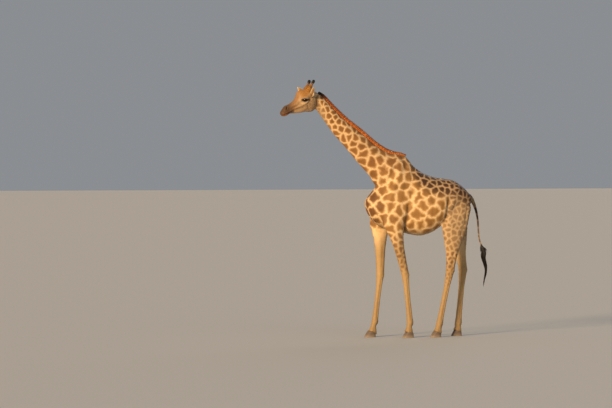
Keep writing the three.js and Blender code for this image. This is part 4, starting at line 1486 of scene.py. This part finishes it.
for side in ("left", "right"):
    _, _, c, _, share = in_eye(skin_at, side)
    near_eye = np.minimum(near_eye, np.where((c > -0.03) & (zone["head"] > 0.5), share, 9.0))
# dark skin round the eye and a streak through it, partly painted shade of the lids and lashes
eye_streak_and_shade = stroke(side_on, [(0.262, 0.070), (0.225, 0.053), (0.185, 0.036), (0.158, 0.025)], 0.014, 1.0)
eye_streak_and_shade = zone["head"] * eye_streak_and_shade * smoothstep(0.3, 0.6, side_face)
nostril = zone["head"] * stroke(side_on, NOSTRIL_LINE, 0.0075, 0.9) * smoothstep(0.3, 0.6, side_face)
mouth = zone["head"] * stroke(side_on, MOUTH_LINE, 0.0055, 0.75)
# painted highlight: a pale stroke on the cheekbone under the eye
cheek_highlight = zone["head"] * stroke(side_on, [(0.285, 0.026), (0.235, 0.014), (0.190, 0.022)], 0.014, 0.7)
# painted shadow: a dark band where the jaw meets the neck
jaw_shadow = stroke(side_on, [(0.030, 0.000), (0.044, -0.060), (0.056, -0.120)], 0.020, 0.75) * (z > 3.1)
ear_rim, ear_hollow = np.zeros(len(skin_at)), np.zeros(len(skin_at))
for side in ("left", "right"):
    root, reach, across, facing = ear_frame(side)
    up_ear = (skin_at - root) @ reach / EAR_REACH
    wide = np.interp(up_ear, *EAR_GIRTH.T) * EAR_HALF
    off_middle = np.abs((skin_at - root) @ across) / wide
    mine = part == IS[f"ear_{side}"]
    front = smoothstep(-0.1, 0.4, skin_normal @ facing)
    edge = smoothstep(0.70, 0.92, off_middle) * smoothstep(0.15, 0.4, up_ear)
    ear_rim += mine * np.maximum(edge, smoothstep(0.86, 0.97, up_ear))
    ear_hollow += mine * front * smoothstep(0.80, 0.45, off_middle) * smoothstep(0.90, 0.6, up_ear)
print("points round the eyes:", int((near_eye < 2).sum()), "on the ears:", int(on_ear.sum()))

# %% Where the colours lie on the body
leg_low = np.where(x < -0.1, smoothstep(1.65, 1.2, z), smoothstep(1.5, 1.0, z))
# painted shade: the underside of the barrel, which the belly colour darkens as if out of the light
shaded_underside = smoothstep(-0.55, -0.95, skin_normal[:, 2]) * (z < 1.8) * (z > 1.3)
# painted shade: how far the skin faces backwards, where the rear colour darkens the rump most
shaded_rear_face = smoothstep(0.2, 0.9, skin_normal[:, 0])
flat = np.stack([x, z], axis=1)
# the creases behind the elbow and before the thigh: darker thin-haired skin, with painted shade in them
fold_and_shade = stroke(flat, [(-0.268, 1.88), (-0.280, 1.74), (-0.295, 1.58)], 0.026, 0.55) * (z > 1.5)
fold_and_shade = fold_and_shade + stroke(flat, [(0.340, 1.92), (0.312, 1.78), (0.292, 1.64)], 0.026, 0.26)
fold_and_shade = fold_and_shade * smoothstep(0.3, 0.7, np.abs(skin_normal[:, 1]))

# %% Ground and patch colours
ground = tinted(GROUND["body"], [
    (GROUND["neck"], zone["neck"]),
    (GROUND["back"], zone["back"] * 0.8),
    # painted shade: the rump darkens, most where it faces backwards
    (GROUND["rear"], zone["rump"] * (0.48 + 0.42 * shaded_rear_face)),
    (GROUND["leg"], leg_low),
    (GROUND["shank"], smoothstep(0.85, 0.35, z) * 0.5),
    # painted shade on the underside of the barrel
    (GROUND["belly"], shaded_underside * 0.9),
    # darker skin and painted shade in the creases
    (GROUND["fold_and_shade"], fold_and_shade),
    (GROUND["face"], zone["head"]),
    (GROUND["forehead"], on_brow * 0.85),
    (GROUND["bridge"], on_bridge * 0.7),
    (GROUND["muzzle"], on_muzzle * 0.85),
    (GROUND["lip"], on_lip * 0.9),
    # painted highlight under the eye
    (GROUND["cheek_highlight"], cheek_highlight),
    # dark skin round the eyes, partly painted shade of the lids and lashes
    (GROUND["dark"], eye_streak_and_shade),
    (GROUND["dark"], smoothstep(2.6, 1.35, near_eye) * 0.98),
    (GROUND["dark"], nostril),
    (GROUND["dark"], mouth),
    # painted shadow behind the jaw
    (GROUND["dark"], jaw_shadow),
    (GROUND["ear"], on_ear),
    (GROUND["ear_inside"], ear_hollow * 0.9),
    (GROUND["rim"], ear_rim * 0.85),
    (GROUND["tail"], (part == IS["tail"]) * 0.8),
])
patch = tinted(PATCH_COLOUR["flank"], [
    (PATCH_COLOUR["chest"], zone["shoulder"] * smoothstep(-0.5, -0.8, x)),
    (PATCH_COLOUR["neck"], zone["neck"]),
    (PATCH_COLOUR["rump"], zone["rump"] * 0.85),
    (PATCH_COLOUR["back"], zone["back"] * (1 - zone["neck"]) * 0.92),
    (PATCH_COLOUR["leg"], leg_low),
    # the same creases in the patches: darker skin and painted shade
    (GROUND["fold_and_shade"], fold_and_shade),
    (PATCH_COLOUR["face"], zone["head"]),
    (PATCH_COLOUR["tail"], part == IS["tail"]),
])

skin_marks = {
    "patch_depth": depth, "patch_share": depth / width, "patch_tone": patch_tone, "patch_strength": strength,
    "ground_colour": ground, "patch_colour": patch,
}
mark(skin, skin_marks)
print("marks on the skin:", list(skin_marks))


# %% [markdown]
# ## Hide
# Short giraffe hair lies flat and shines a little. Its pigment is laid down in the patches: tan at
# the rim, brown inside and darkest at the heart. The paint is therefore mixed from the ground and
# patch colours by the depth inside the patch, with a hair-fine noise that frays the borders.

# %% Hide paint
HAIR_FRAY = 0.005  # metres that the border of a patch wanders
HAIR_GRAIN = 0.0045  # metres between the tips of hairs in the bump, coarser than real ones to show
WANDER, BLOTCH, FLECK = 0.012, 0.05, 0.009  # metres across the noises that fray and mottle the hide
BLUR = 0.011  # metres either side of a border over which the ground passes into the patch


def shaded(add, colour, tone):
    """The colour times a grey of the given tone."""
    grey = add("CombineColor", {"Red": tone, "Green": tone, "Blue": tone})
    return add("Mix", {"Factor": 1.0, 6: colour, 7: grey}, **TIMES)


def marked_colour(add, fray):
    """The colour of the markings, from the point attributes that skin and hair share."""
    read = {name: add("Attribute", {}, "Fac" if value.ndim == 1 else "Color", attribute_name=name)
            for name, value in skin_marks.items()}
    ground, patch = read["ground_colour"], read["patch_colour"]
    where = add("TexCoord", {}, "Object")
    wander, blotch, fleck = (
        add("TexNoise", {"Vector": where, "Scale": 1 / size, "Detail": detail})
        for size, detail in ((WANDER, 3.0), (BLOTCH, 4.0), (FLECK, 3.0))
    )
    shift = add("Math", {0: wander, 1: fray * 2, 2: -fray}, operation="MULTIPLY_ADD")
    depth = add("Math", {0: read["patch_depth"], 1: shift}, operation="ADD")
    deep = add("Math", {0: shift, 1: 4.0, 2: read["patch_share"]}, operation="MULTIPLY_ADD")
    in_from_rim = add("MapRange", {"Value": deep, "From Min": 0.00, "From Max": 0.21}, **SMOOTH)
    in_to_heart = add("MapRange", {"Value": deep, "From Min": 0.08, "From Max": 0.36}, **SMOOTH)
    over_border = add("MapRange", {"Value": depth, "From Min": -BLUR, "From Max": BLUR}, **SMOOTH)
    rim = add("Mix", {"Factor": 0.50, 6: patch, 7: ground}, **MIX)
    core = add("Mix", {"Factor": 1.0, 6: patch, 7: (0.60, 0.58, 0.60, 1)}, **TIMES)
    inside = add("Mix", {"Factor": in_from_rim, 6: rim, 7: patch}, **MIX)
    own_tone = add("Math", {0: read["patch_tone"], 1: 0.7, 2: 0.3}, operation="MULTIPLY_ADD")
    uneven = add("Math", {0: blotch, 1: 1.5, 2: 0.1}, operation="MULTIPLY_ADD")
    heart = add("Math", {0: in_to_heart, 1: own_tone}, operation="MULTIPLY")
    heart = add("Math", {0: heart, 1: uneven}, operation="MULTIPLY")
    inside = add("Mix", {"Factor": heart, 6: inside, 7: core}, **MIX)
    cover = add("Math", {0: over_border, 1: read["patch_strength"]}, operation="MULTIPLY")
    colour = add("Mix", {"Factor": cover, 6: ground, 7: inside}, **MIX)
    tone = add("Math", {0: blotch, 1: 0.36, 2: 0.72}, operation="MULTIPLY_ADD")
    tone = add("Math", {0: fleck, 1: 0.20, 2: tone}, operation="MULTIPLY_ADD")
    return shaded(add, colour, tone)


hide, add = new_material("short giraffe hide")
where = add("TexCoord", {}, "Object")
grain = add("TexNoise", {"Vector": where, "Scale": 1 / HAIR_GRAIN, "Detail": 4.0, "Roughness": 0.65})
paint = add("BsdfPrincipled", {
    "Base Color": marked_colour(add, HAIR_FRAY), "Roughness": 0.62, "Specular IOR Level": 0.35,
    "Normal": add("Bump", {"Height": grain, "Strength": 0.55, "Distance": 0.0018}),
    "Sheen Weight": 0.08, "Sheen Roughness": 0.4,
})
add("OutputMaterial", {"Surface": paint})
print("hide nodes:", len(hide.node_tree.nodes))


# %% [markdown]
# ## Coat
# A giraffe's coat is so short that most of it is only grain, which the hide's bump gives. Where it
# breaks the form it has to be real: along the back, the brisket and the elbows, behind the thighs,
# over the hooves, on the jaw and round the ears. Short flat tufts are strewn over the rest, so that
# no edge of the animal is smooth. Each tuft takes the markings of the point where it grows.

# %% Where tufts grow
skin.data.calc_loop_triangles()
tri = np.empty(len(skin.data.loop_triangles) * 3, np.int32)
skin.data.loop_triangles.foreach_get("vertices", tri)
tri = tri.reshape(-1, 3)
skin_at, skin_normal = points_of(skin.data), normals_of(skin.data)
corner = skin_at[tri]
face_area = np.linalg.norm(np.cross(corner[:, 1] - corner[:, 0], corner[:, 2] - corner[:, 0]), axis=1) / 2

# length, width, lift and how closely they stand, for each kind of place
PLAIN = (0.017, 0.0036, 0.09, 0.42)


def tuft_map():
    """Length, width, lift and cover at every point of the skin, mixed from the zones."""
    x, y, z, seat = zone["x"], zone["y"], zone["z"], zone["seat"]
    sized = np.tile(PLAIN, (len(skin_at), 1))
    down, rear = -skin_normal[:, 2], skin_normal[:, 0]
    low = smoothstep(1.35, 0.9, z)
    spine = smoothstep(0.05, 0.0, np.abs(y)) * (down < -0.3) * (x > -0.25) * (1 - zone["head"])
    brisket = smoothstep(0.2, 0.9, down) * (x < -0.25) * (z > 1.4) * (z < 2.1)
    elbow = smoothstep(0.5, 0.95, rear) * (x < -0.2) * (x > -0.62) * (z > 1.35) * (z < 1.75)
    belly = smoothstep(0.6, 0.95, down) * (x > -0.3) * (x < 0.5) * (z > 1.3)
    thigh = smoothstep(0.55, 0.95, rear) * (x > 0.5) * (z > 1.0) * (z < 2.0)
    hock = smoothstep(0.6, 0.95, rear) * (x > -0.1) * (z < 1.05) * (z > 0.75)
    fetlock = smoothstep(0.3, 0.9, rear) * smoothstep(0.30, 0.22, z) * (z > 0.12)
    coronet = smoothstep(0.13, 0.10, z)
    jaw = zone["head"] * smoothstep(0.5, 0.9, down) * (seat[:, 0] < 0.45)
    muzzle = zone["head"] * smoothstep(0.42, 0.52, seat[:, 0])
    for rows, weight in (
        ((0.012, 0.0028, 0.10, 0.40), low), ((0.0075, 0.0019, 0.12, 0.62), zone["head"]),
        ((0.0045, 0.0013, 0.12, 0.45), muzzle), ((0.026, 0.0046, 0.24, 0.9), spine),
        ((0.030, 0.0050, 0.22, 0.9), brisket), ((0.030, 0.0048, 0.24, 0.9), elbow),
        ((0.027, 0.0048, 0.16, 0.6), belly), ((0.026, 0.0046, 0.18, 0.7), thigh),
        ((0.020, 0.0036, 0.22, 0.9), hock), ((0.024, 0.0034, 0.26, 1.1), fetlock),
        ((0.024, 0.0032, 0.16, 1.5), coronet), ((0.012, 0.0024, 0.20, 0.8), jaw),
        ((0.008, 0.0017, 0.08, 0.9), on_ear), ((0.014, 0.0026, 0.16, 0.9), part == IS["tail"]),
    ):
        sized = sized * (1 - weight[:, None]) + np.array(rows) * weight[:, None]
    return sized


sized = tuft_map()
face_sized = sized[tri].mean(axis=1)
face_density = face_sized[:, 3] / (face_sized[:, 0] * face_sized[:, 1])
COAT_GROUPS = {"head": ["head", "ear_left", "ear_right"], "neck": ["neck"], "trunk": ["trunk"],
               "forelegs": ["foreleg_left", "foreleg_right"], "hindlegs": ["hindleg_left", "hindleg_right"],
               "tail": ["tail"]}
MOST_TUFTS = 22000  # nine triangles each keep a piece under 200,000
DISORDER = 0.20  # how far a tuft strays from the lie of the coat
FLAT_ENOUGH = 0.955  # length of the mean normal; less means an edge too sharp for a tuft
face_part = part[tri[:, 0]]


def sample(values, faces, weights):
    """Values at barycentric places in faces: the corners' values by weight."""
    return (values[tri[faces]] * weights.reshape(len(faces), 3, *[1] * (values.ndim - 1))).sum(1)


def grow_coat(name, faces, weights):
    """One piece of coat: tufts at the given faces, at the given barycentric places in them."""
    flat = np.linalg.norm(sample(skin_normal, faces, weights), axis=1) > FLAT_ENOUGH
    faces, weights = faces[flat], weights[flat]
    root, out = sample(skin_at, faces, weights), unit(sample(skin_normal, faces, weights))
    hair = unit(sample(lie, faces, weights) + rng.normal(0, DISORDER, root.shape))
    hair = unit(hair - out * (hair * out).sum(1, keepdims=True))
    size = sample(sized, faces, weights)
    count = len(root)
    length = size[:, 0] * rng.uniform(0.7, 1.25, count)
    lift = size[:, 2] * rng.uniform(0.5, 1.5, count)
    path = curved(root - out * (0.08 * length)[:, None], unit(hair + out * (lift * 1.1)[:, None]), -out,
                  length, lift * 0.25, 3)
    marks = {key: sample(value, faces, weights) for key, value in skin_marks.items() if key != "patch_tone"}
    marks["patch_tone"] = patch_tone[tri[faces, 0]]
    marks["hair_shade"] = rng.uniform(0, 1, count)
    _, spot = body_places(root)
    width = size[:, 1] * rng.uniform(0.8, 1.2, count)
    return lock_mesh(f"coat_{name}", path, np.cross(hair, out), width, size[:, 1] * 0.30, spot, marks,
                     np.array([0.75, 1.0]), shading=out)


coat = []
for group, names in COAT_GROUPS.items():
    in_group = np.flatnonzero(np.isin(face_part, [IS[name] for name in names]))
    wanted = face_density[in_group] * face_area[in_group]
    count = int(wanted.sum())
    chosen = rng.choice(in_group, count, p=wanted / wanted.sum())
    weights = rng.dirichlet((1, 1, 1), count)
    pieces = -(-count // MOST_TUFTS)
    for k in range(pieces):
        label = group if pieces == 1 else f"{group}_{k + 1}"
        coat.append(grow_coat(label, chosen[k::pieces], weights[k::pieces]))
    print("coat of", group, "tufts:", count)


# %% [markdown]
# ## Lashes
# Long dark lashes shade a giraffe's eye. They stand in a row on the edge of the upper lid, reach
# out over the eye and droop a little backwards, with a shorter, thinner row below.


# %% Lashes on the lids
def lashes(side, upper, count):
    """Locks rooted on the rim of the almond, at evenly spread angles with a little scatter."""
    out, level, rise = eye_axes(side)
    turn = np.linspace(0.10, 0.92, count) * np.pi + rng.normal(0, 0.02, count)
    turn = turn if upper else -turn
    a, b = np.cos(turn), np.sin(turn)
    rim = almond_radius(a, b)
    a, b = a * rim, b * rim
    b = b - CORNER_DROP * a
    c = np.sqrt(np.clip((EYE_RADIUS + 0.0015) ** 2 - a**2 - b**2, 0, None))
    root = eye_centre[side] + level * a[:, None] + rise * b[:, None] + out * c[:, None]
    back_share = smoothstep(0.015, -0.020, a)
    way = out * 0.62 - level * (0.05 + 0.65 * back_share)[:, None]
    way = way + rise * ((-0.62 if upper else -0.55) + rng.normal(0, 0.07, count))[:, None]
    length = ((0.017 + 0.011 * back_share) if upper else np.full(count, 0.009)) * rng.uniform(0.8, 1.1, count)
    path = curved(root, unit(way), rise * np.ones((count, 1)), length, np.full(count, 0.10), 5)
    spot = np.stack([0.70 + 0.1 * (a / 0.05 + 0.5), np.full(count, 0.94 + (0.02 if upper else 0))], 1)
    return lock_mesh(
        f"lashes_{side}_{'upper' if upper else 'lower'}", path, level * np.ones((count, 1)),
        np.full(count, 0.0013), np.full(count, 0.0009), spot,
        {"hair_place": turn, "hair_shade": rng.uniform(0, 0.4, count)}, np.array([1.0, 0.9, 0.7, 0.4]),
    )


lash_rows = [
    lashes(side, upper, count) for side in ("left", "right") for upper, count in ((True, 130), (False, 60))
]
print("lash rows:", len(lash_rows))


# %% [markdown]
# ## Hair, horn and eye finishes
# Hair is translucent keratin: it keeps its colour in the light and has a soft gloss along each
# lock. Mane hair runs from near black behind the head to fox red. Hoof horn is the same stuff in
# bulk, dark, dull and ringed by its growth. The eye is wet, so it has a clear sharp coat.

# %% Hair finishes
def hair_finish(name, stops, dark, light, roughness=0.5):
    """Colour by place along the mane or tuft, then each lock a little darker or lighter."""
    material, add = new_material(name)
    place_on = add("Attribute", {}, "Fac", attribute_name="hair_place")
    base = add("ValToRGB", {"Fac": place_on})
    elements = base.node.color_ramp.elements
    while len(elements) < len(stops):
        elements.new(0.5)
    for element, (position, colour) in zip(elements, stops):
        element.position, element.color = position, linear(colour)
    shade = add("Attribute", {}, "Fac", attribute_name="hair_shade")
    tone = add("Math", {0: shade, 1: light - dark, 2: dark}, operation="MULTIPLY_ADD")
    paint = add("BsdfPrincipled", {
        "Base Color": shaded(add, base, tone), "Roughness": roughness, "Specular IOR Level": 0.45,
    })
    add("OutputMaterial", {"Surface": paint})
    return material


# pigmented mane hair: fox red over most of the neck, near black behind the ears
mane_hair = hair_finish("fox red mane hair", [
    (0.0, "#8E5628"), (0.12, "#BE7028"), (0.55, "#C06C24"), (0.80, "#A6581E"), (0.91, "#643416"),
    (0.97, "#1E130D"),
], 0.90, 1.26)
# coarse black hair, with a brown cast where it is thin
black_hair = hair_finish("black tail hair", [(0.0, "#17110D"), (1.0, "#1E1712")], 0.5, 1.1, 0.42)

# coat hair: the markings of the hide, each tuft a little darker or lighter, and duller than the hide
coat_hair, add = new_material("giraffe coat hair")
shade = add("Attribute", {}, "Fac", attribute_name="hair_shade")
tone = add("Math", {0: shade, 1: 0.24, 2: 0.90}, operation="MULTIPLY_ADD")
paint = add("BsdfPrincipled", {
    "Base Color": shaded(add, marked_colour(add, 0.0), tone), "Roughness": 0.75, "Specular IOR Level": 0.12,
})
add("OutputMaterial", {"Surface": paint})
print("hair finishes:", mane_hair.name, black_hair.name, coat_hair.name, sep=", ")

# %% Hoof horn
# keratin in bulk: brown black, dull, with growth rings and fine upright fibres
HOOF_RING = 0.006  # metres between growth rings
HOOF_FIBRE = 0.0025  # metres between fibres, coarser than real ones to show
hoof_horn, add = new_material("hoof horn")
where = add("TexCoord", {}, "Object")
wobble = add("TexNoise", {"Vector": where, "Scale": 1 / 0.05, "Detail": 3.0})
height = add("SeparateXYZ", {"Vector": where}, "Z")
ring_turn = add("Math", {0: height, 1: 2 * math.pi / HOOF_RING}, operation="MULTIPLY")
ring_turn = add("Math", {0: wobble, 1: 5.0, 2: ring_turn}, operation="MULTIPLY_ADD")
rings = add("Math", {0: ring_turn}, operation="SINE")
upright = add("Mapping", {"Vector": where, "Scale": (1.0, 1.0, 0.12)})
fibre = add("TexNoise", {"Vector": upright, "Scale": 1 / HOOF_FIBRE, "Detail": 3.0})
relief = add("Math", {0: rings, 1: 0.35, 2: fibre}, operation="MULTIPLY_ADD")
edge_height = add("Math", {0: wobble, 1: 0.03, 2: height}, operation="MULTIPLY_ADD")
wear = add("MapRange", {"Value": edge_height, "From Min": 0.012, "From Max": 0.07}, **SMOOTH)
tone = add("Mix", {"Factor": wear, 6: linear("#8E7A60"), 7: linear("#56463A")}, **MIX)
banded = add("MapRange", {"Value": rings, "From Min": -2.0, "From Max": 4.0}, **SMOOTH)
paint = add("BsdfPrincipled", {
    "Base Color": add("Mix", {"Factor": banded, 6: tone, 7: linear("#7E6C58")}, **MIX), "Roughness": 0.55,
    "Normal": add("Bump", {"Height": relief, "Strength": 0.25, "Distance": 0.0010}),
})
add("OutputMaterial", {"Surface": paint})
print("hoof nodes:", len(hoof_horn.node_tree.nodes))

# %% Eye
# a wet dark brown ball, with a level oval pupil, a streaked iris and a brown white, so it has a glint
eye_finish, add = new_material("wet brown eye")
turn, angle, reach = (
    add("Attribute", {}, "Fac", attribute_name=name) for name in ("iris_turn", "iris_angle", "pupil_reach")
)
streak_turn = add("Math", {0: turn, 1: 14.0}, operation="MULTIPLY")
streaks = add("TexNoise", {"W": streak_turn, "Scale": 1.0, "Detail": 2.0}, noise_dimensions="1D")
colour = add("Mix", {"Factor": streaks, 6: linear("#100906"), 7: linear("#2A180C")}, **MIX)
for low, high, outer in ((26.0, 33.0, "#140C08"), (40.0, 50.0, "#241812")):  # degrees from the axis
    step = add("MapRange", {"Value": angle, "From Min": low, "From Max": high}, **SMOOTH)
    colour = add("Mix", {"Factor": step, 6: colour, 7: linear(outer)}, **MIX)
off_pupil = add("MapRange", {"Value": reach, "From Min": 1.0, "From Max": 1.12}, **SMOOTH)
paint = add("BsdfPrincipled", {
    "Base Color": add("Mix", {"Factor": off_pupil, 6: linear("#050404"), 7: colour}, **MIX),
    "Roughness": 0.12, "IOR": 1.376, "Coat Weight": 1.0, "Coat Roughness": 0.02,
})
add("OutputMaterial", {"Surface": paint})
print("eye nodes:", len(eye_finish.node_tree.nodes))


# %% Horn colours
def nearest(points, others):
    """For each point, the index of the nearest of the others."""
    tree = kdtree.KDTree(len(others))
    for index, other in enumerate(others):
        tree.insert(other, index)
    tree.balance()
    return np.array([tree.find(point)[1] for point in points])


for side, piece in horns.items():
    p = points_of(piece.data)
    stem = horn_line(side, 1.0) - horn_line(side, 0.0)
    share = (p - horn_line(side, 0.0)) @ stem / (stem @ stem)
    black = smoothstep(0.62, 0.80, share + 0.04 * waves(p, 0.02, 41))[:, None]
    pale = smoothstep(0.35, -0.05, share)[:, None] * 0.5
    tan = np.array(linear("#9A6A34")) * (1 - pale) + np.array(linear(GROUND["forehead"])) * pale
    colour = tan * (1 - black) + np.array(linear(GROUND["dark"])) * black
    zero = np.zeros(len(p))
    marks = {"patch_depth": zero, "patch_share": zero, "patch_tone": zero, "patch_strength": zero,
             "ground_colour": colour, "patch_colour": colour}
    mark(piece, marks)
    below = nearest(points_of(horn_coats[side].data), p)
    mark(horn_coats[side], {key: value[below] for key, value in marks.items()})
print("horns marked:", list(horns))


# %% [markdown]
# ## Dress and ride
# Every piece gets its finish and its body: the imported solids that it stands for are hidden, and
# it rides on the root body.

# %% Dress the pieces
def dress(piece, finish, slot, *nodes):
    """Gives a piece its finish and its body, and hides the solids that it stands for; slot is not used."""
    piece.data.materials.clear()
    piece.data.materials.append(finish)
    piece.data.shade_smooth()
    if nodes:
        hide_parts(*nodes)
    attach(piece, "root")


dress(skin, hide, "hide", *FLESH, "ear_left", "ear_right", "tail")
for side in ("left", "right"):
    dress(eyeballs[side], eye_finish, "eye", f"eye_{side}")
    dress(horns[side], hide, "horn_skin", f"horn_{side}")
    dress(horn_locks[side], black_hair, "black_hair")
    dress(horn_coats[side], coat_hair, "horn_skin")
for piece in lash_rows:
    dress(piece, black_hair, "black_hair")
for node, piece in claws.items():
    dress(piece, hoof_horn, "hoof_horn", node)
for piece in coat:
    dress(piece, coat_hair, "hide")
dress(mane, mane_hair, "mane_hair", "mane")
dress(mane_core, mane_hair, "mane_hair")
dress(tail_tuft, black_hair, "black_hair", "tail_tuft")
dress(tuft_core, black_hair, "black_hair")
pieces = [o for o in bpy.data.objects if o.type == "MESH" and o.name in bpy.context.scene.objects]
total = {o.name: sum(len(f.vertices) - 2 for f in o.data.polygons) for o in pieces if not o.hide_render}
print("triangles:", sum(total.values()), "largest:", max(total, key=total.get), max(total.values()))
